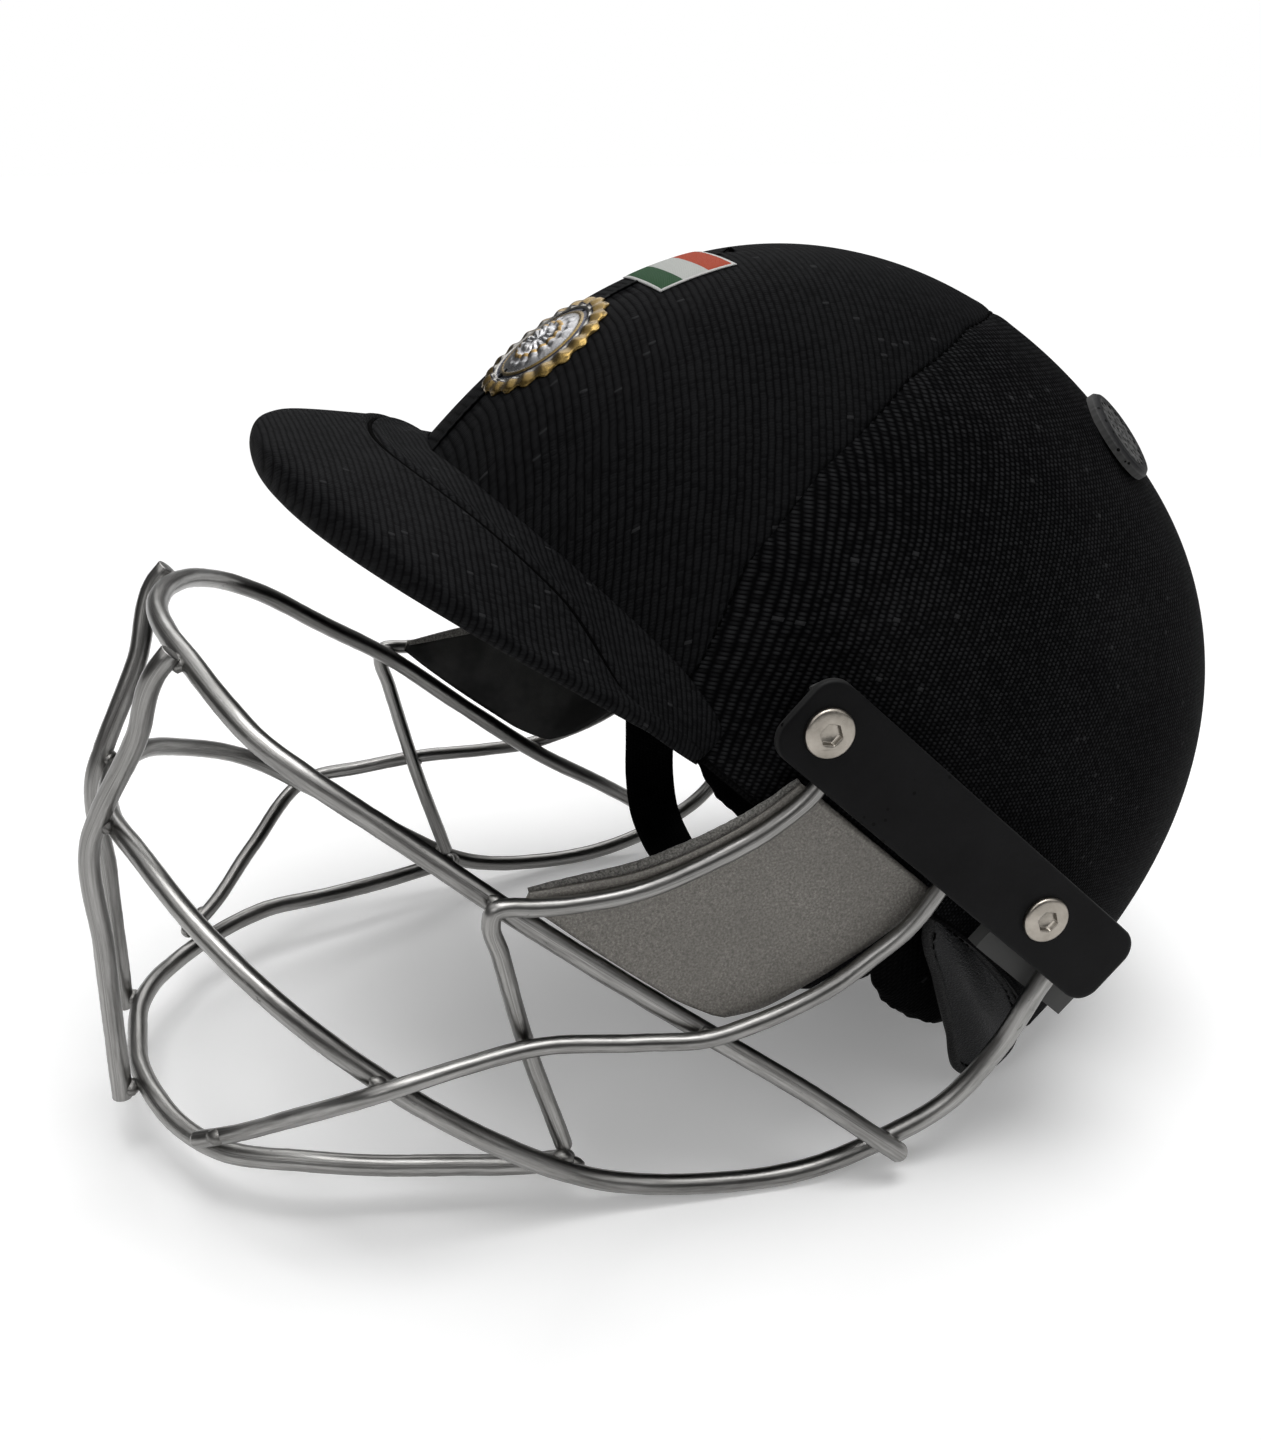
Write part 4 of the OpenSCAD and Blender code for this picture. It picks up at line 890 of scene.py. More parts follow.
seam_out = normals_of(front_grid)[0]
seam_out = seam_out * np.sign(np.sum(seam_out * (front_grid[0] - [0, 0, 20]), -1))[:, None]
seam_stitch = stitches("seam_stitches", front_grid[0] + seam_out * -0.55, seam_out, 2.1, 1.0, 0.3)
finish(seam_stitch, "helmet", "ribbed_cloth", thread)
rim_a = np.linspace(0, 2 * math.pi, 260, endpoint=False)
rim = np.stack([plan_r(rim_a) * np.sin(rim_a), plan_r(rim_a) * np.cos(rim_a), rim_h(rim_a)], -1)
hem_line = rim * [0.991, 0.991, 1] + [0, 0, 0.55]
hem = tube("rim_hem", hem_line, 1.25, sides=10, closed=True)
finish(hem, "helmet", "knit_cloth", webbing)
print("seam stitches:", len(seam_stitch.data.polygons) // 54)

# %% [markdown]
# The peak is a stiff board in a sewn sleeve of the same cloth. Its section was read off the
# photograph: it leaves the dome in a shallow valley, rises over the seam near the dome, falls
# to a rounded nose and runs back underneath. The section changes evenly towards both ends.

# %% Peak cloth
def peak_section(b):
    q = abs(b) / 60.5
    close = math.sqrt(max(0.0, 1 - max(0.0, (abs(b) - 41) / 13.2) ** 2))
    fade = (1 - q ** 5.2) * close
    edge = 33 * fade
    low = min(-28 * (1 - 1.77 * q * q + 0.9 * q ** 4), -6.5)
    nose = 7.5 * (1 - 0.6 * q * q) * (0.25 + 0.75 * close)
    tip = edge + nose
    runs_out = min(1.0, max(0.0, (abs(b) - 33) / 15)) ** 2
    seam = edge * (0.47 + 0.25 * q * q + 0.3 * runs_out)
    seam_z = 5 * math.sin(math.radians(190 * q)) ** 2 * (1 - runs_out) + 0.7 * low * runs_out
    root = (7 + 4 * math.sin(math.radians(180 * q))) * (0.3 + 0.7 * close)
    brow = tip - nose * 0.55
    brow_z = max(seam_z - 0.72 * (brow - seam), low + nose * 0.5 + 2.5)
    tip_z = low + (brow_z - low) * 0.54
    return np.array([
        [0.3, root], [seam * 0.5, (root + seam_z) / 2 - 0.8], [seam, seam_z],
        [(seam + brow) / 2, (seam_z + brow_z) / 2 + 0.4], [brow, brow_z],
        [tip - nose * 0.12, tip_z + (brow_z - tip_z) * 0.45], [tip, tip_z],
        [tip - nose * 0.2, (tip_z + low) / 2], [tip - nose * 0.6, low + (tip_z - low) * 0.12],
        [edge, low], [edge - 3 * fade, low + 0.8 * fade], [edge * 0.72, -5 + (low + 5) * 0.5],
        [edge * 0.3, -5 + (low + 5) * 0.16], [0.3, -5.0]])


def even_section(points, fine):
    """Smooth section with the same number of points between each pair, so rings match up."""
    p = np.vstack([2 * points[0] - points[1], points, 2 * points[-1] - points[-2]])
    out = []
    for k in range(1, len(p) - 2):
        for t in np.arange(fine) / fine:
            out.append(0.5 * (2 * p[k] + (p[k + 1] - p[k - 1]) * t
                              + (2 * p[k - 1] - 5 * p[k] + 4 * p[k + 1] - p[k + 2]) * t ** 2
                              + (3 * p[k] - p[k - 1] - 3 * p[k + 1] + p[k + 2]) * t ** 3))
    out.append(p[-2])
    return np.array(out)


def peak():
    fine, count = 14, 170
    rows, uvs, seam_rows = [], [], []
    for b in 54 * np.sin(np.linspace(-1, 1, count) * 1.25) / math.sin(1.25):
        s = even_section(peak_section(b), fine)
        d = run_of(s)
        at = d[2 * fine]
        fade = 1 - (abs(b) / 60.5) ** 5.2
        n = np.stack([-np.gradient(s[:, 1]), np.gradient(s[:, 0])], -1)
        n /= np.linalg.norm(n, axis=1, keepdims=True)
        groove = (-1.3 * np.exp(-((d - at) / 0.95) ** 2)
                  + 0.45 * np.exp(-((np.abs(d - at) - 2.6) / 1.5) ** 2))
        s = s + n * (groove * min(1, 1.5 * fade))[:, None]
        a = math.radians(180 - b)
        r = float(plan_r(np.array(a))) + s[:, 0]
        beta = math.radians(b)
        ring = np.stack([r * math.sin(beta), -r * math.cos(beta), s[:, 1]], -1)
        rows.append(ring)
        seam_rows.append(ring[2 * fine])
        uvs.append(np.stack([0.857 * ring[:, 1] + 0.514 * ring[:, 2], d + 131 * abs(beta)], -1))
    grid = np.array(rows)
    cols = grid.shape[1]
    faces = grid_faces(count, cols)
    faces += [tuple(range(cols)), tuple(range(count * cols - 1, (count - 1) * cols - 1, -1))]
    faces += [(k * cols, (k + 1) * cols, (k + 2) * cols - 1, (k + 1) * cols - 1) for k in range(count - 1)]
    uv = np.array(uvs).reshape(-1, 2) / 1000
    obj = outward(build("peak_cloth", world_of(grid.reshape(-1, 3)), faces, uv))
    return obj, grid, np.array(seam_rows)


peak_obj, peak_grid, peak_seam = peak()
finish(peak_obj, "helmet", "ribbed_cloth", peak_cloth, "peak_cover", "peak_core")
# A near-black tube laid in the seam's groove stands for the seam's thread and darkens the groove as painted
# shade
seam_thread_and_shade = tube("peak_seam_thread_and_shade", peak_seam, 0.95, sides=8)
finish(seam_thread_and_shade, "helmet", "ribbed_cloth", thread)
print("peak: %d points" % len(peak_obj.data.vertices))

# %% [markdown]
# The face guard is bare steel: three 6 mm bars across, two 6 mm uprights in front and four
# thinner wires at the sides, cut, bent and welded by hand. Each bar is a tube along its
# route with a little unevenness in its width, and a lumpy bead of weld at each joint.

# %% Face guard
WIDE = 100.4 / 100
OVER, OVER_BAR, OVER_WIRE = 5.6, 6.1, 5.1
TOP = [[0, -176.5, -76], [20, -174, -75], [37, -168, -73.5], [53, -159.5, -73],
       [65, -150.5, -72.5], [73, -138, -71], [80, -113.5, -69], [89.7, -83, -66.5],
       [92, -48.5, -65.5], [94.5, -8.5, -63.5], [102.5, 29, -59.5],
       [102.3 + OVER_BAR, 56, -57.7], [102.9 + OVER_BAR, 63, -57.5]]
LOWER = [[0, -153.5, -131], [18, -152, -129.5], [33, -146.5, -127], [58, -128.5, -126],
         [80.5, -101.5, -124.5], [90, -71.5, -124], [94.5, -36, -122], [95, 0, -116],
         [98, 27, -100], [101, 49, -79.5], [102.5, 62, -58], [104, 68.5, -39.5],
         [105.5, 67, -15], [107, 60.5, 5], [107.1, 58.5, 14]]
CHIN = [[0, -97.5, -194.5], [16, -97, -194], [30, -93.5, -192], [42, -88, -189.5],
        [57, -78.5, -182], [70, -63, -166], [76, -47, -153.5], [81, -32, -140.5],
        [86.5, -17.5, -127], [89, -9.5, -118.5]]
SIDE = [[56.5, -86, -182.5], [65 - OVER / 2, -83, -174], [78, -80, -152],
        [90 + OVER - 0.2, -74, -123.5], [94.5, -61.5, -108.5],
        [88.3 + OVER_WIRE + 0.7, -47, -92.5], [97.5, -25, -75], [94.7 + OVER, -10, -62],
        [100.8, -3.5, -53], [101.2, 3, -42], [101.6, 8, -30.5], [102, 11, -17.5],
        [103, 12.5, -4.5], [103.3, 11.5, 6], [103.3, 10, 14]]
CHEEK = [[99.6, -40, 14], [99.6, -39.5, 6], [99.2, -41.5, -6], [98.3, -49, -25],
         [97.3, -58, -41], [96.6, -68, -52], [96, -78, -60.5], [89.8 + OVER, -83, -64.2],
         [89.8 + OVER, -85, -66.5], [89.5 + OVER, -83.5, -69.5], [94, -75, -75.5],
         [88.3, -46, -95.5], [88.9, -14, -115.2]]
UPRIGHT = [[37.5, -168 - OVER_BAR, -74], [37.5, -168 - OVER_BAR, -79], [30, -159 - OVER_BAR, -101],
           [23, -151.6 - OVER_BAR, -127.5], [22, -149.2 - OVER_BAR, -134.5], [22.5, -132, -162],
           [24, -98.3, -200.5]]


def wide(route):
    return [[p[0] * WIDE, p[1], p[2]] for p in route]


def across(route):
    return [[-p[0], p[1], p[2]] for p in reversed(route[1:])] + list(route)


def mirrored(route):
    return [[-p[0], p[1], p[2]] for p in route]


bars = []
for name, route, caps, seed in (("top_bar", TOP, "round", 1.0), ("lower_bar", LOWER, "flat", 2.0),
                                ("chin_bar", CHIN, "round", 3.0)):
    made = tube(f"{name}_steel", smooth_line(across(wide(route)), 2.5), 3.0, caps=caps, seed=seed)
    bars.append(finish(made, "helmet", "wire_steel", wire_steel, name))
for side, turn in (("left", lambda r: r), ("right", mirrored)):
    for name, route, radius, caps, seed in (("side_wire", SIDE, 2.5, "round", 4.0),
                                            ("cheek_wire", CHEEK, 2.5, "round", 5.0),
                                            ("upright", UPRIGHT, 3.0, "flat", 6.0)):
        line = smooth_line(turn(wide(route)), 2.0)
        made = tube(f"{name}_{side}_steel", line, radius, caps=caps, seed=seed)
        bars.append(finish(made, "helmet", "wire_steel", wire_steel, f"{name}_{side}"))


def bead(name, centre, along, size, seed):
    """A lump of weld: an uneven ball drawn out along the joint."""
    rows, cols = 9, 14
    axis = np.asarray(along, float) / np.linalg.norm(along)
    side = np.cross(axis, [0.3, 0.5, 1.0])
    side /= np.linalg.norm(side)
    up = np.cross(axis, side)
    points = []
    for r in range(rows):
        th = math.pi * (r + 0.5) / rows
        for c in range(cols):
            ph = 2 * math.pi * c / cols
            d = axis * math.cos(th) * 1.35 + (side * math.cos(ph) + up * math.sin(ph)) * math.sin(th)
            lump = 1 + 0.16 * noise.noise(Vector(d * 2.2) + Vector((seed, seed * 2, 0)))
            points.append(np.asarray(centre, float) + d * size * lump)
    return from_rings(name, np.reshape(points, (rows, cols, 3)))


WELDS = [((36.5, -171, -75.5), (1, 0.4, 0), 2.3), ((22.6, -154.4, -129.4), (1, 0.3, 0), 2.4),
         ((24.2, -98, -196.6), (1, 0, 0), 2.3), ((92.6, -83.5, -66.0), (0.3, 1, -0.2), 2.5),
         ((92.5, -13.5, -117.3), (0.2, 1, 0.2), 2.4), ((91.6, -8, -118.2), (0.2, 1, 0.3), 2.6),
         ((61.5, -84.5, -176.5), (0.6, 0.4, 0.6), 2.4), ((92.4, -74.5, -124), (0.2, 1, -0.1), 2.3),
         ((92.6, -46.8, -94), (0.1, 0.8, 0.6), 1.9), ((97.5, -9.5, -62.8), (0.1, 1, 0.2), 2.1),
         ((105.9, 58.8, -57.8), (0.3, 1, 0), 2.7), ((96.8, -79, -62.0), (0.1, 0.7, 0.6), 1.8)]
beads = []
for sign in (1, -1):
    for k, (centre, along, size) in enumerate(WELDS):
        c = (centre[0] * sign, centre[1], centre[2])
        beads.append(bead("bead", c, (along[0] * sign, along[1], along[2]), size, k + 3 * sign))
weld_beads = finish(join("weld_beads", beads), "helmet", "wire_steel", weld_steel)
for f in weld_beads.data.polygons:
    f.use_smooth = True
print("guard:", len(bars), "bars,", len(WELDS) * 2, "welds")

# %% [markdown]
# A thin steel plate closes each cheek. It is dished a little and its lower rear corner is cut back. A narrow
# band of felt covers its front edge, so that edge looks soft and thick. Its inner face, inside the helmet,
# is given a much darker finish: painted shade.

# %% Cheek plates
def between(a, b, t):
    return a + (b - a) * t


def plate_place(sign):
    """Turns plate coordinates (rear, up, out) into the upright frame."""
    lean, yaw = math.radians(2.85), math.radians(-3.15)
    ry = np.array([[math.cos(lean), 0, math.sin(lean)], [0, 1, 0], [-math.sin(lean), 0, math.cos(lean)]])
    rz = np.array([[math.cos(yaw), -math.sin(yaw), 0], [math.sin(yaw), math.cos(yaw), 0], [0, 0, 1]])
    turn = rz @ ry

    def place_one(p):
        q = np.stack([p[..., 2] - 1.2, p[..., 0] + 7, p[..., 1] + 61.5], -1)
        q = q @ turn.T + [95.6 + 0.4, -7, -61.5]
        return q * [sign, 1, 1]
    return place_one


def line_at(points, t):
    p = smooth_line(np.asarray(points, float), 1.0)
    d = run_of(p)
    return np.stack([np.interp(np.asarray(t) * d[-1], d, p[:, k]) for k in range(2)], -1)


def cheek_plate(side, sign):
    n, m = 46, 60
    s, t = np.linspace(0, 1, m), np.linspace(0, 1, n)
    low = line_at([[-80, -61.6], [-60, -61.8], [-9, -59.8]], s)
    high = line_at([[-43.4, 7.5], [-14, 7.5], [14, 7.5]], s)
    fore = line_at([[-80, -58], [-71, -48.5], [-61.5, -38], [-53, -24], [-46, -6], [-43.4, 7.5]], t)
    aft = line_at([[-6.5, -58.6], [-1, -48], [6, -30], [11.5, -10], [14, 7.5]], t)
    low[-1], low[0] = aft[0], fore[0]
    S, T = np.meshgrid(s, t)
    grid = ((1 - T)[..., None] * low[None] + T[..., None] * high[None]
            + (1 - S)[..., None] * fore[:, None] + S[..., None] * aft[:, None]
            - ((1 - S) * (1 - T))[..., None] * low[0] - (S * (1 - T))[..., None] * low[-1]
            - ((1 - S) * T)[..., None] * high[0] - (S * T)[..., None] * high[-1])
    dish = -1.5 * (np.sin(math.pi * np.clip(S, 0, 1)) ** 0.6) * (np.sin(math.pi * np.clip(T, 0, 1)) ** 0.6)
    roll = 2.4 * np.exp(-(S / 0.09) ** 2)
    corner = (np.clip((S - 0.76) / 0.24, 0, 1) * np.clip((0.2 - T) / 0.2, 0, 1)) ** 1.5
    grid = grid + corner[..., None] * [-1.6, 2.2]
    out = dish + roll + 0.35 * np.exp(-((1 - S) / 0.05) ** 2)
    face = np.concatenate([grid, out[..., None]], -1)
    back = np.concatenate([grid, (out - 1.1)[..., None]], -1)
    count = n * m
    points = plate_place(sign)(np.concatenate([face.reshape(-1, 3) + [0, 0, 1.2],
                                               back.reshape(-1, 3) + [0, 0, 1.2]]))
    obj = outward(build(f"cheek_plate_{side}_steel", world_of(points), slab_faces(n, m)))
    finish(obj, "helmet", "plate_metal", plate_metal, f"cheek_plate_{side}")
    obj.data.materials.append(plate_inside_painted_shade)
    # The faces of the inner side take the darker, painted-shade finish
    for f in obj.data.polygons:
        inside = min(f.vertices) >= count
        f.material_index = 1 if inside else 0
    way = np.gradient(fore, axis=0)
    way /= np.linalg.norm(way, axis=1, keepdims=True)
    beyond = np.stack([-way[:, 1], way[:, 0]], -1)
    wide_by = 0.4 + 2.3 * np.sin(math.pi * np.clip(t * 0.94, 0, 1)) ** 0.8
    rings = []
    for a in np.linspace(0, 2 * math.pi, 16, endpoint=False):
        flat = fore + beyond * ((0.5 + 0.5 * math.cos(a)) * (wide_by + 1.2) - 1.2)[:, None]
        rings.append(np.concatenate([flat, np.full((n, 1), 1.5 + 0.95 * math.sin(a))], -1))
    rings = np.array(rings).transpose(1, 0, 2)
    fuzz = rough(rings.reshape(-1, 3), 0.22, 0.9, 2.0).reshape(n, 16, 1)
    lip = from_rings(f"plate_lip_{side}", rings + fuzz, plate_place(sign))
    finish(lip, "helmet", "plate_metal", lip_felt)
    return obj


plates = [cheek_plate("left", 1), cheek_plate("right", -1)]
print("cheek plates made")

# %% [markdown]
# Soft pads are puffed with a short cloth simulation: a plain closed form is remeshed, blown up
# a little with pressure while a cap limits how far each point may move, and the result is
# kept as the mesh.

# %% Soft pads
def apply_modifiers(obj):
    shown = bpy.context.evaluated_depsgraph_get()
    mesh = bpy.data.meshes.new_from_object(obj.evaluated_get(shown))
    obj.modifiers.clear()
    obj.data = mesh
    for f in mesh.polygons:
        f.use_smooth = True


def puff(obj, voxel=0.005, cap=0.004, frames=16):
    """Remesh, then blow the pad up with cloth pressure, held by a cap on each point's travel."""
    modifier = obj.modifiers.new("even", "REMESH")
    modifier.mode, modifier.voxel_size = "VOXEL", voxel
    apply_modifiers(obj)
    start = np.empty(len(obj.data.vertices) * 3)
    obj.data.vertices.foreach_get("co", start)
    cloth = obj.modifiers.new("cloth", "CLOTH")
    cloth.settings.use_pressure, cloth.settings.uniform_pressure_force = True, 4.0
    cloth.settings.effector_weights.gravity = 0.0
    cloth.settings.quality = 5
    for f in range(1, frames + 1):
        bpy.context.scene.frame_set(f)
    apply_modifiers(obj)
    bpy.context.scene.frame_set(1)
    after = np.empty_like(start)
    obj.data.vertices.foreach_get("co", after)
    move = (after - start).reshape(-1, 3)
    far = np.linalg.norm(move, axis=1, keepdims=True)
    move *= np.minimum(1, cap / np.maximum(far, 1e-9))
    obj.data.vertices.foreach_set("co", (start.reshape(-1, 3) + move).ravel())
    modifier = obj.modifiers.new("fine", "SUBSURF")
    modifier.levels = modifier.render_levels = 1
    apply_modifiers(obj)
    box_uv(obj)
    return obj


def box_uv(obj):
    """UVs in metres from the side each face looks to, so a weave keeps its real size."""
    mesh = obj.data
    layer = mesh.uv_layers.get("cloth") or mesh.uv_layers.new(name="cloth")
    values = np.empty(len(mesh.loops) * 2)
    for f in mesh.polygons:
        n = f.normal
        axis = max(range(3), key=lambda k: abs(n[k]))
        u, v = [(1, 2), (0, 2), (0, 1)][axis]
        for k in f.loop_indices:
            co = mesh.vertices[mesh.loops[k].vertex_index].co
            values[2 * k], values[2 * k + 1] = co[u], co[v]
    layer.data.foreach_set("uv", values)


def crowned(outline, thick, levels=9):
    """Closed crowned form on an outline in its own plane: rings of points from face to face."""
    p = smooth_line(list(outline) + [outline[0]], 2.5)[:-1]
    mid = (p.min(axis=0) + p.max(axis=0)) / 2
    rings = []
    for k in range(levels):
        t = -1 + 2 * k / (levels - 1)
        scale = max(0.18, (1 - abs(t) ** 2.6) ** (1 / 2.6))
        rings.append(np.concatenate([mid + (p - mid) * scale, np.full((len(p), 1), t * thick / 2)], -1))
    return np.array(rings)


def edge_place(x, y, z, yaw, pitch, sign):
    """From a soft part's own plane (along its top edge, up, out) to the upright frame."""
    a, b = math.radians(yaw), math.radians(-pitch)
    rz = np.array([[math.cos(a), -math.sin(a), 0], [math.sin(a), math.cos(a), 0], [0, 0, 1]])
    rx = np.array([[1, 0, 0], [0, math.cos(b), -math.sin(b)], [0, math.sin(b), math.cos(b)]])
    stand = np.array([[0, 0, 1], [1, 0, 0], [0, 1, 0]])
    turn = rz @ rx @ stand
    return lambda p: (np.asarray(p) @ turn.T + [x, y, z]) * [sign, 1, 1]


EAR_PAD = [[0, 0], [20, 2.6], [40, 1.6], [58, -1.4], [72, -4.6],
           [76, -12], [72, -24], [52, -30], [30, -30], [8, -18]]
FLAP = [[0, 0], [34, 2.4], [58, 1], [73, -4], [80, -12],
        [78, -24], [70, -27], [51, -21], [24, -12], [5, -5]]
print("pad tools ready")

# %% [markdown]
# A leather flap hangs below each ear opening, and a foam pad in black cloth sits inside it.
# The pad is a crowned form puffed by the simulation. The flap is a thin leaf with two soft
# lobes and a valley between them, bound round its edge and stitched.

# %% Ear pads and ear flaps
def ear_pad(side, sign):
    rings = crowned(0.96 * np.array(EAR_PAD) + [1.5, -0.6], 9.4)
    obj = from_rings(f"ear_pad_{side}_cloth", rings, edge_place(80.35, 20, 0.9, 14, 4, sign))
    puff(obj, voxel=0.004, cap=0.0016)
    finish(obj, "helmet", "pad_cloth", pad_cloth, f"ear_pad_{side}")
    return obj


def flap_relief(x, y):
    """Two lobes along the flap with a valley between."""
    across = (y + 0.22 * x) / 9.0
    lobes = 1.3 * np.cos(across * math.pi) * np.clip(x / 25, 0, 1)
    return lobes - 0.5 * np.exp(-((x - 40) / 12) ** 2)


def ear_flap(side, sign):
    line = smooth_line([*FLAP, FLAP[0]], 1.6)[:-1]
    middle = np.array([44.0, -10.5])
    around = len(line)
    scales = np.concatenate([np.linspace(0.05, 0.9, 14), [0.96, 0.99]])
    front, back = [], []
    for s in scales:
        p = middle + (line - middle) * s
        z = flap_relief(p[:, 0], p[:, 1]) * (1 - s ** 6)
        thick = 1.5 * (1 - s ** 8) + 0.15
        front.append(np.stack([p[:, 0], p[:, 1], z + thick], -1))
        back.append(np.stack([p[:, 0], p[:, 1], z - thick], -1))
    to_upright = edge_place(90, 27, 2.7, 10, 7, sign)
    obj = from_rings(f"ear_flap_{side}_leather", front + back[::-1], to_upright)
    finish(obj, f"ear_flap_{side}", "flap_leather", flap_leather, f"ear_flap_{side}")
    edge = np.concatenate([middle + (line - middle) * 0.985, np.zeros((around, 1))], -1)
    binding = tube(f"ear_flap_binding_{side}", to_upright(edge), 1.7, sides=10, closed=True)
    finish(binding, f"ear_flap_{side}", "flap_leather", chin_leather)
    inside = middle + (line - middle) * 0.9
    top = np.concatenate([inside, (flap_relief(inside[:, 0], inside[:, 1]) * 0.5 + 1.25)[:, None]], -1)
    out = np.tile(to_upright(np.array([[0, 0, 1.0]])) - to_upright(np.array([[0, 0, 0.0]])), (around, 1))
    run = stitches(f"ear_flap_stitches_{side}", to_upright(top), out, 2.6, 1.3, 0.28)
    finish(run, f"ear_flap_{side}", "flap_leather", thread)


for side, sign in (("left", 1), ("right", -1)):
    ear_pad(side, sign)
    ear_flap(side, sign)
print("ear parts made")

# %% [markdown]
# Inside, a black foam liner in blocks follows the dome, and three thin comfort pads are stuck
# to it. They show from below and behind, so they get the same care as the outside.

# %% Liner and comfort pads
def liner():
    a = np.linspace(0, 2 * math.pi, 240, endpoint=False)
    t = np.radians(np.concatenate([[0], np.linspace(3, 88.5, 60)]))
    layers = []
    for inset, lift in ((4.65, 1.0), (18.65, 1.0)):
        rows = []
        for k, value in enumerate(t):
            n = profile_n(a)
            r = plan_r(a, inset) * math.cos(value) ** (2 / n)
            h = (DOME_H - inset) * math.sin(value) ** (2 / n) if k else rim_h(a) + lift
            h = np.maximum(h, rim_h(a) + lift)
            rows.append(np.stack([r * np.sin(a), r * np.cos(a), h], -1))
        layers.append(np.array(rows))
    outer, inner = layers
    joints = (0, 24, 48, 73, 98, 119, 140, 160, 180, 200, 220, 241, 262, 287, 312, 336)
    joint = np.min([np.abs((np.degrees(a) - at) % 360 - 180) for at in joints], axis=0)
    groove = 1.2 * np.exp(-(joint / 0.9) ** 2)
    level = np.max([np.exp(-((inner[..., 2] - at) / 1.6) ** 2) for at in (55, 105)], axis=0)
    away = -normals_of(inner)
    if np.mean(np.sum(away * inner, -1)) < 0:
        away = -away
    inner = inner + away * (np.maximum(groove[None] * (inner[..., 2] < 105), 1.2 * level))[..., None]
    rows, cols = inner.shape[:2]
    points = np.concatenate([outer.reshape(-1, 3), inner.reshape(-1, 3)])
    n = rows * cols
    faces = grid_faces(rows, cols, wrap=True) + grid_faces(rows, cols, wrap=True, flip=True, start=n)
    faces += [(k, (k + 1) % cols, n + (k + 1) % cols, n + k) for k in range(cols)]
    faces += [tuple(range((rows - 1) * cols, rows * cols)),
              tuple(range(n + (rows - 1) * cols, n + rows * cols))[::-1]]
    return outward(build("liner_foam", world_of(points), faces))


liner_obj = finish(liner(), "helmet", "foam", foam, "foam_liner")


def wall_pad(name, a0, a1, low, high, node):
    a = np.radians(np.linspace(a0, a1, 34))
    share = np.linspace(0, 1, 9)[:, None]
    base = rim_h(a)[None] + low
    h = base + (high - base) * share
    A = np.broadcast_to(a, h.shape)
    outer, inner = dome_at(A, h, 19.6), dome_at(A, h, 23.0)
    obj = puff(from_slab(name, outer, inner), voxel=0.003, cap=0.0011)
    finish(obj, "helmet", "pad_cloth", pad_cloth, node)


wall_pad("brow_pad_cloth", 127.5, 232.5, 3.6, 19, "brow_pad")
wall_pad("nape_pad_cloth", -25.5, 25.5, 3.6, 17.5, "nape_pad")


def crown_cushion():
    a = np.linspace(0, 2 * math.pi, 48, endpoint=False)
    rings = []
    for inset, order in ((19.4, 1), (23.2, -1)):
        made = []
        for value in np.radians(np.linspace(71, 89, 10)):
            n = profile_n(a)
            r = plan_r(a, inset) * math.cos(value) ** (2 / n)
            h = (DOME_H - inset) * math.sin(value) ** (2 / n) - (0.5 if order > 0 else 0)
            made.append(np.stack([r * np.sin(a), r * np.cos(a), h], -1))
        rings += made[::-1] if order > 0 else made
    obj = from_rings("crown_pad_cloth", rings)
    puff(obj, voxel=0.003, cap=0.0011)
    finish(obj, "helmet", "pad_cloth", pad_cloth, "crown_pad")


crown_cushion()
print("liner and comfort pads made")

# %% [markdown]
# The chin strap is a flat woven band on two rivets. It carries a small leather pad for the
# chin and a plastic slider. Webbing keeps its width, so it is a plain ribbon along its path
# with rounded tabs at the rivets.

# %% Chin strap, chin pad and slider
WEB_X = 88.55
STRAP = np.array([[-1, 0], [-1, -20], [-1, -36], [-0.944, -48], [-0.752, -55], [-0.497, -54],
                  [-0.226, -50], [0.113, -44], [0.452, -36.5], [0.678, -31.5], [0.864, -27],
                  [0.977, -20], [1, -12], [1, 0]]) * [WEB_X, 1]


def pivot_place(p):
    """From the strap's level frame at its rivets (across, rear, up) to the upright frame."""
    p = np.asarray(p, float)
    c, s = math.cos(TILT), math.sin(TILT)
    return np.stack([p[..., 0], p[..., 1] * c - p[..., 2] * s + 8, p[..., 1] * s + p[..., 2] * c - 16], -1)


def strap_line(step):
    p = smooth_line(STRAP, step)
    d = np.gradient(p, axis=0)
    d /= np.linalg.norm(d, axis=1, keepdims=True)
    return p, np.stack([-d[:, 1], d[:, 0]], -1)


def ribbon():
    p, n = strap_line(2.0)
    rise = np.array([9.5, 8.6, 6.8, 4.2, 2.0])
    first = np.stack([np.full(5, -WEB_X), rise], -1)
    last = np.stack([np.full(5, WEB_X), rise[::-1]], -1)
    p = np.vstack([first, p, last])
    n = np.vstack([np.tile(n[0], (5, 1)), n, np.tile(n[-1], (5, 1))])
    half = np.full(len(p), 10.0)
    half[:5] = np.sqrt(100 - rise ** 2)
    half[-5:] = half[:5][::-1]
    d = run_of(p)
    cross = np.linspace(-1, 1, 13)
    rows, uvs = [], []
    for k in range(len(p)):
        thick = 0.8 * (1 - 0.55 * cross ** 8)
        selvage = 0.08 * np.cos(cross * math.pi * 3)
        for sign in (1, -1):
            off = sign * thick + selvage * (sign > 0)
            ring = np.stack([p[k, 0] + n[k, 0] * off, cross * half[k], p[k, 1] + n[k, 1] * off], -1)
            rows.append(ring if sign > 0 else ring[::-1])
            uvs.append(np.stack([(cross if sign > 0 else cross[::-1]) * half[k], np.full(13, d[k])], -1))
    grid = np.array(rows).reshape(len(p), 26, 3)
    uv = np.array(uvs).reshape(-1, 2) / 1000
    return from_rings("chin_strap_band", grid, pivot_place, uv)


band_obj = finish(ribbon(), "chin_strap", "webbing", webbing, "chin_webbing")


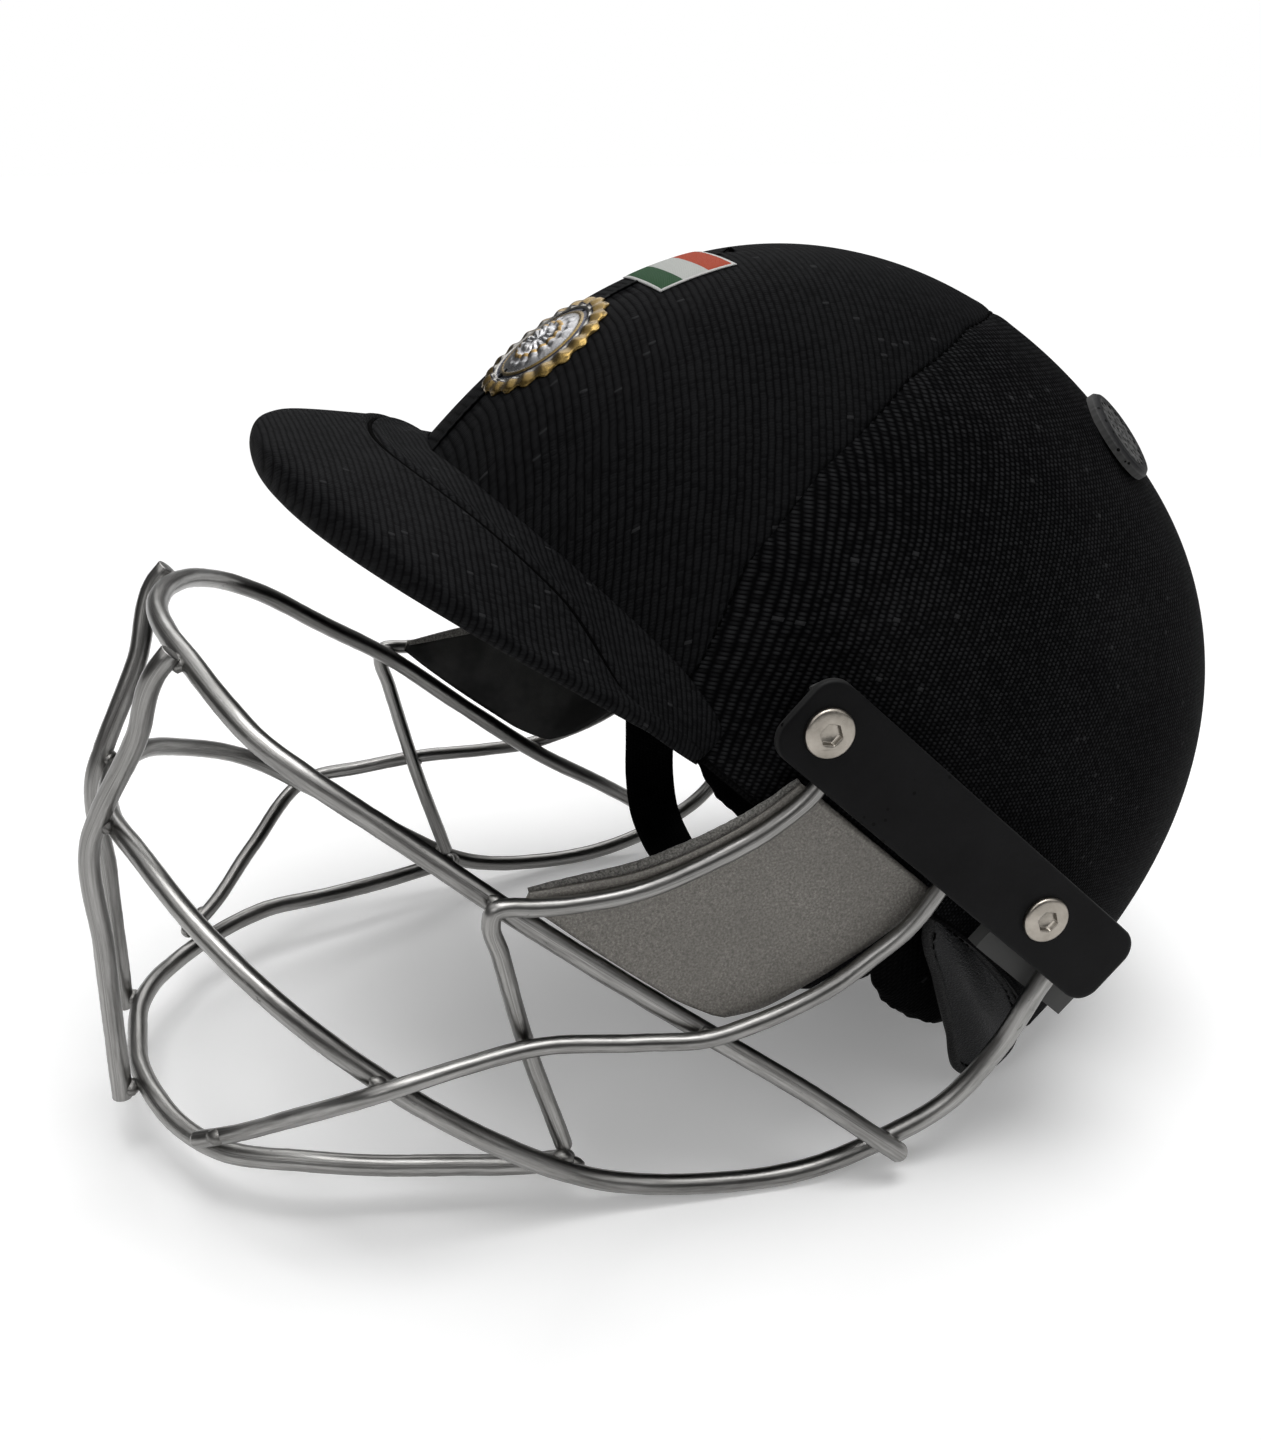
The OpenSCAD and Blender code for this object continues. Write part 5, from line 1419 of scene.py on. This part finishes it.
def chin_cushion():
    p, n = strap_line(1.5)
    keep = (p[:, 0] > -7.97 - 35) & (p[:, 0] < -7.97 + 35)
    p, n = p[keep], n[keep]
    last = len(p) - 1
    rings = []
    for k in range(last + 1):
        s = (k + 0.5) / (last + 1)
        swell = 0.35 + 0.65 * math.sqrt(math.sin(math.pi * s))
        half, thick = 16.6 * swell, 6.6 * swell
        a = np.linspace(0, 2 * math.pi, 36, endpoint=False)
        up = thick * (1 + np.sign(np.sin(a)) * np.abs(np.sin(a)) ** 0.75) / 2
        y = half * np.sign(np.cos(a)) * np.abs(np.cos(a)) ** 0.8
        upper = np.sin(a) > 0
        side_seams = -0.7 * np.exp(-((np.abs(y) - half * 0.74) / 0.9) ** 2) * upper
        sewn = side_seams - 0.5 * np.exp(-(y / 0.9) ** 2) * upper
        c = p[k] + n[k] * 0.95
        rings.append(np.stack([c[0] + n[k, 0] * (up + sewn), y, c[1] + n[k, 1] * (up + sewn)], -1))
    obj = from_rings("chin_pad_leather", rings, pivot_place)
    finish(obj, "chin_strap", "chin_leather", chin_leather, "chin_pad")


chin_cushion()


def bevelled(name, corners, faces, radius, segments=3):
    """Closed form with every edge rounded."""
    obj = build(name, corners, faces)
    mesh = bmesh.new()
    mesh.from_mesh(obj.data)
    bmesh.ops.recalc_face_normals(mesh, faces=mesh.faces)
    bmesh.ops.bevel(mesh, geom=mesh.edges[:], offset=radius, segments=segments, profile=0.6, affect="EDGES")
    mesh.to_mesh(obj.data)
    mesh.free()
    for f in obj.data.polygons:
        f.use_smooth = True
    return obj


BOX_FACES = [(0, 1, 3, 2), (4, 6, 7, 5), (0, 4, 5, 1), (2, 3, 7, 6), (0, 2, 6, 4), (1, 5, 7, 3)]


def slider():
    p, _ = strap_line(6.0)
    near = p[(p[:, 0] > 50.03 - 12) & (p[:, 0] < 50.03 + 12)]
    a, b = near[0], near[-1]
    mid, lean = (a + b) / 2, math.atan2(b[1] - a[1], b[0] - a[0])
    c, s = math.cos(lean), math.sin(lean)
    bars = []
    for x0, x1, y0, y1, z0, z1 in (
            (-6, 6, -13, -10.1, -2.6, 2.6), (-6, 6, 10.1, 13, -2.6, 2.6),
            (-6, -2.6, -12.5, 12.5, 0.95, 2.6), (2.6, 6, -12.5, 12.5, 0.95, 2.6),
            (-6, 6, -12.5, 12.5, -2.6, -0.95)):
        pts = np.array([(x, y, z) for x in (x0, x1) for y in (y0, y1) for z in (z0, z1)], float)
        at = np.stack([mid[0] + pts[:, 0] * c - pts[:, 2] * s, pts[:, 1],
                       mid[1] + pts[:, 0] * s + pts[:, 2] * c], -1)
        bars.append(bevelled("bar", world_of(pivot_place(at)), BOX_FACES, 0.0005))
    return join("strap_slider_plastic", bars)


finish(slider(), "strap_slider", "slider_plastic", slider_plastic, "strap_slider")
print("chin strap made")

# %% [markdown]
# A moulded strip covers the ends of the guard's bars on each side. Its sharp edges are painted paler, a
# painted highlight, and the bevel along its upper edge gets a lighter, glossier finish, also a painted
# highlight; its corners are round, and it is bare. Behind its upper edge a wall runs down to the bracket,
# while below it is open where the bars come in.

# %% Side strips
YAW = math.radians(4.3)
STRIP_SIZE = np.array([135, 25])
# Painted highlight: a lighter, glossier finish for the bevel along the strip's upper edge
strip_top_edge_highlight, _, _ = material("strip_top_edge_highlight", **{"Base Color": (0.06, 0.059, 0.057, 1), "Roughness": 0.42,
                                             "Specular IOR Level": 0.3})
socket_shade, _, _ = material("socket_shade", **{"Base Color": (0.055, 0.047, 0.04, 1), "Roughness": 0.55,
                                                 "Specular IOR Level": 0.2})


def side_place(sign):
    """From the strip's frame (out, along, up) to the upright frame."""
    c, s = math.cos(YAW), math.sin(YAW)
    return lambda p: np.stack([(100.4 + p[..., 0] * c + p[..., 1] * s) * sign,
                               5.2 - p[..., 0] * s + p[..., 1] * c, 22 + p[..., 2]], -1)


def round_outline(length, height, corner, fine=12):
    out = []
    for k, (cy, cz) in enumerate(((1, 1), (-1, 1), (-1, -1), (1, -1))):
        for a in np.linspace(k * math.pi / 2, (k + 1) * math.pi / 2, fine, endpoint=False):
            out.append((cy * (length / 2 - corner) + corner * math.cos(a),
                        cz * (height / 2 - corner) + corner * math.sin(a)))
        if k in (0, 2):
            run = np.linspace(1, -1, 40)[1:-1] if k == 0 else np.linspace(-1, 1, 40)[1:-1]
            out += [(y * (length / 2 - corner), (height / 2) * (1 if k == 0 else -1)) for y in run]
    return np.array(out)


def strip(side, sign):
    line = round_outline(*STRIP_SIZE, 7)
    n = len(line)
    rings = []
    for out, inset in ((6.1, 0.9), (6.15, 0.25), (6.4, 0.0), (7.6, 0.0), (8.05, 0.14),
                       (8.35, 0.45), (8.52, 0.9), (8.6, 1.6), (8.6, 4.0), (8.6, 7.0)):
        scale = (STRIP_SIZE - 2 * inset) / STRIP_SIZE
        wave = rough(np.concatenate([line, np.zeros((n, 1))], -1), 0.12, 0.06, 3.0)
        rings.append(np.concatenate([np.full((n, 1), out), line * scale + (line / 60) * wave[:, None]], -1))
    rings = np.array(rings)
    face_plate = from_rings("face", rings, side_place(sign))
    high_part = np.flatnonzero(line[:, 1] > -3.5)
    step = np.linalg.norm(line[high_part] - line[np.roll(high_part, 1)], axis=1)
    upper = np.roll(high_part, -int(np.argmax(step)))
    wall_rings = []
    for out, inset in ((0.8, 2.4), (6.3, 0.1), (6.3, 2.4), (0.8, 4.0)):
        scale = (STRIP_SIZE - 2 * inset) / STRIP_SIZE
        wall_rings.append(np.concatenate([np.full((len(upper), 1), out), line[upper] * scale], -1))
    wall_rings = np.array(wall_rings + wall_rings[:1])
    m = len(upper)
    faces = grid_faces(5, m)
    faces = [tuple(v % (4 * m) for v in f) for f in faces]
    faces += [tuple(k * m for k in range(4)), tuple(k * m + m - 1 for k in range(4))]
    wall = outward(build("wall", world_of(side_place(sign)(wall_rings[:4].reshape(-1, 3))), faces,
                         smooth=False))
    # The bevel faces high on the strip take the lighter, painted-highlight finish
    for f in face_plate.data.polygons:
        high = sum(rings.reshape(-1, 3)[v][2] for v in f.vertices) / len(f.vertices)
        f.material_index = 1 if 3 * n <= min(f.vertices) < 6 * n and high > 8 and len(f.vertices) == 4 else 0
    obj = join(f"side_strip_{side}_plastic", [face_plate, wall])
    finish(obj, "helmet", "strip_plastic", strip_plastic, f"side_strip_{side}")
    obj.data.materials.append(strip_top_edge_highlight)
    return obj


def screw_head(sign, along):
    """Flat dished head with a six-sided socket, turned round the screw's axis."""
    sides = 48
    a = np.linspace(0, 2 * math.pi, sides, endpoint=False)
    hexed = 2.75 / np.cos((a + math.pi / 6) % (math.pi / 3) - math.pi / 6)
    rings = []
    for r, z in ((6.75, 0.0), (6.75, 0.8), (6.62, 1.15), (6.35, 1.4), (5.9, 1.55), (5.0, 1.68),
                 (4.2, 1.76), (3.6, 1.8)):
        rings.append((np.full(sides, r), z))
    rings += [(hexed * 1.04, 1.78), (hexed, 1.66), (hexed, 0.1), (hexed * 0.5, -0.25)]
    grid = np.array([np.stack([np.full(sides, 8.62 + z), along + r * np.cos(a), r * np.sin(a)], -1)
                     for r, z in rings])
    n = len(grid)
    head = from_rings("head", grid, side_place(sign))
    for f in head.data.polygons:
        f.material_index = 1 if min(f.vertices) >= (n - 3) * sides else 0
    return head


for side, sign in (("left", 1), ("right", -1)):
    strip(side, sign)
heads = join("cage_screw_heads", [screw_head(sign, along) for sign in (1, -1) for along in (-56.5, 35.0)])
finish(heads, "helmet", "bright_screws", bright, "cage_screws")
heads.data.materials.append(socket_shade)
for f in heads.data.polygons:
    f.use_smooth = True
print("side strips and screws made")

# %% [markdown]
# On the front sits a badge and above it a small woven label. Both are generic: the badge is
# a plain silver boss in a gold scalloped rim with a dark blue ring, and the label has three
# bands in a white border. They are drawn in their own plane and laid on the dome's curve.

# %% Badge and label
def front_point(x, h, off):
    """Point over the dome's front at a place across and a height, lifted off it along its normal."""
    def on(x, h):
        low, high = np.full(np.shape(x), math.pi / 2), np.full(np.shape(x), math.pi)
        for _ in range(34):
            mid = (low + high) / 2
            wider = dome_at(mid, h)[..., 0] > np.abs(x)
            low, high = np.where(wider, mid, low), np.where(wider, high, mid)
        p = dome_at((low + high) / 2, h)
        p[..., 0] = x
        return p
    p = on(x, h)
    e = 0.4
    n = np.cross(on(x + e, h) - on(x - e, h), on(x, h + e) - on(x, h - e))
    n /= np.linalg.norm(n, axis=-1, keepdims=True)
    n *= np.where(n[..., 1:2] > 0, -1, 1)
    return p + n * np.asarray(off)[..., None]


def lean_at(h):
    n = 2.42
    up = (1 - (h / DOME_H) ** n) ** (1 / n)
    return math.atan2((h / DOME_H) ** (n - 1) / DOME_H, up ** (n - 1) / DOME_FRONT)


def badge():
    rho = np.concatenate([np.linspace(0.4, 13, 22), np.linspace(13.4, 22, 40)])
    phi = np.linspace(0, 2 * math.pi, 288, endpoint=False)
    R, P = np.meshgrid(rho, phi, indexing="ij")
    scallop = 0.5 + 0.5 * np.cos(P * 20)
    edge = 20.4 + 1.5 * scallop
    R2 = R * np.where(R > 13.2, 13.2 + (R - 13.2) * (edge - 13.2) / 8.8, R) / R
    dome = 1.35 - 0.9 * (R2 / 13) ** 2
    relief = 0.55 * np.abs(np.sin(P * 8)) + 0.3 * np.sin(R2 * 1.9)
    facet = relief * np.clip(R2 / 4, 0, 1) * np.clip((12 - R2) / 3, 0, 1)
    ringed = 0.3 + 0.35 * np.exp(-((R2 - 13.6) / 0.7) ** 2) + 0.55 * np.exp(-((R2 - 16.2) / 0.5) ** 2)
    petal = 1.15 * (1 - ((R2 - 18.6) / 2.6) ** 2).clip(0, 1) ** 0.5 * (0.35 + 0.65 * scallop)
    height = np.where(R2 < 12.8, dome + facet, np.maximum(ringed, petal + 0.3))
    height[-1] = 0.0
    x, up = R2 * np.cos(P), R2 * np.sin(P)
    lean = lean_at(50.0)
    top = front_point(x, 50 + up * math.cos(lean), 0.3 + height)
    rows, cols = x.shape
    faces = grid_faces(rows, cols, wrap=True) + [tuple(range(cols))]
    foot = front_point(x[-1], 50 + up[-1] * math.cos(lean), np.full(cols, 0.12))
    n = rows * cols
    last = (rows - 1) * cols
    faces += [(last + k, last + (k + 1) % cols, n + (k + 1) % cols, n + k) for k in range(cols)]
    faces += [tuple(range(n, n + cols))[::-1]]
    uv = np.concatenate([np.stack([R2, P], -1).reshape(-1, 2), np.stack([R2[-1], P[-1]], -1)]) / 1000
    return outward(build("front_badge", world_of(np.concatenate([top.reshape(-1, 3), foot])), faces, uv))


badge_metal, tree, sockets = material("badge_metal", Metallic=1.0)
from_middle = add(tree, "SeparateXYZ", {0: add(tree, "UVMap", uv_map="cloth").outputs[0]}).outputs[0]
far = calc(tree, "MULTIPLY", from_middle, 1000.0 / 24)
zones = steps(tree, far, [
    (0.0, (0.36, 0.36, 0.37)), (7.0 / 24, (0.3, 0.2, 0.08)), (8.2 / 24, (0.34, 0.34, 0.35)),
    (12.9 / 24, (0.2, 0.14, 0.05)), (14.3 / 24, (0.008, 0.01, 0.03)), (15.6 / 24, (0.3, 0.29, 0.27)),
    (16.9 / 24, (0.01, 0.012, 0.03)), (17.3 / 24, (0.2, 0.135, 0.045))])
grain = place(tree, "mottle", Large=160.0, Small=900.0)
tree.links.new(blend_colour(tree, calc(tree, "MULTIPLY", grain["Dust"], 0.5), zones,
                            (0.08, 0.06, 0.04)), sockets["Base Color"])
tree.links.new(calc(tree, "ADD", 0.16, calc(tree, "MULTIPLY", grain["Patches"], 0.25)),
               sockets["Roughness"])
bump(tree, grain["Grain"], 0.00012, sockets)
finish(badge(), "helmet", "badge_metal", badge_metal, "badge")


def label():
    u, v = np.linspace(-17, 17, 50), np.linspace(-11.5, 11.5, 34)
    U, V = np.meshgrid(u, v)
    lean = lean_at(91.0)
    pillow = 0.3 + 0.28 * (1 - (np.abs(U) / 17) ** 10) * (1 - (np.abs(V) / 11.5) ** 10)
    top = front_point(U, 91 + V * math.cos(lean), pillow + 0.2)
    under = front_point(U, 91 + V * math.cos(lean), np.full(U.shape, 0.2))
    uv = np.stack([U + 17, V + 11.5], -1).reshape(-1, 2) / 1000
    return from_slab("three_band_label", top, under, np.concatenate([uv, uv]))


label_cloth, tree, sockets = material("label_cloth", Roughness=0.5, **{"Specular IOR Level": 0.05})
uv = add(tree, "UVMap", uv_map="cloth").outputs[0]
xyz = add(tree, "SeparateXYZ", {0: uv})
bands = steps(tree, calc(tree, "MULTIPLY", xyz.outputs[1], 1000.0 / 23),
              [(0.0, (0.003, 0.042, 0.009)), (1 / 3, (0.4, 0.41, 0.39)), (2 / 3, (0.31, 0.034, 0.007))])
rim_u = calc(tree, "MINIMUM", xyz.outputs[0], calc(tree, "SUBTRACT", 0.034, xyz.outputs[0]))
rim_v = calc(tree, "MINIMUM", xyz.outputs[1], calc(tree, "SUBTRACT", 0.023, xyz.outputs[1]))
border = calc(tree, "LESS_THAN", calc(tree, "MINIMUM", rim_u, rim_v), 0.0009)
weave = place(tree, "band_weave", UV=uv, Pitch=0.0006)
colour = blend_colour(tree, border, bands, (0.5, 0.5, 0.49))
worn = place(tree, "scuffs", Scale=240.0, Amount=0.4)
colour = blend_colour(tree, calc(tree, "MULTIPLY", worn["Scratch"], 0.14), colour, (0.2, 0.2, 0.19))
# Painted highlight: the tops of the label's yarns are mixed a little towards white
tree.links.new(blend_colour(tree, calc(tree, "MULTIPLY", weave["Light"], 0.045), colour, (0.6, 0.6, 0.6)),
               sockets["Base Color"])
bump(tree, weave["Height"], 0.00008, sockets)
label_obj = finish(label(), "helmet", "label_cloth", label_cloth, "tricolour_label")
print("badge and label made")

# %% [markdown]
# The rest of the hardware keeps its CAD shape, which is already right, and gets its finish:
# plastic for the shell, vents and spacers, steel for the brackets, hangers and rivets.

# %% Finishes on the CAD's own pieces
for node, dressed in {
        "shell": shell_plastic, "vent_left": vent_plastic, "vent_right": vent_plastic,
        "bracket_left": black_steel, "bracket_right": black_steel,
        "spacer_front_left": spacer_rubber, "spacer_front_right": spacer_rubber,
        "spacer_rear_left": spacer_rubber, "spacer_rear_right": spacer_rubber,
        "cage_tee_nuts": black_steel, "strap_hanger_left": black_steel,
        "strap_hanger_right": black_steel, "hanger_rivets": bright}.items():
    obj = nodes[node]
    if not obj.material_slots:
        obj.data.materials.append(dressed)
    for holder in obj.material_slots:
        holder.material = dressed
print("CAD pieces dressed")

# %% [markdown]
# Last, the scene's own settings, and the two boxes: the CAD model's and the dressed model's.

# %% Settings, sizes and finish
bpy.context.scene.view_settings.view_transform = "Standard"
seen_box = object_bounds()
both = {"cad": [[float(v) for v in corner] for corner in cad_box],
        "seen": [[float(v) for v in corner] for corner in seen_box]}
print(both)
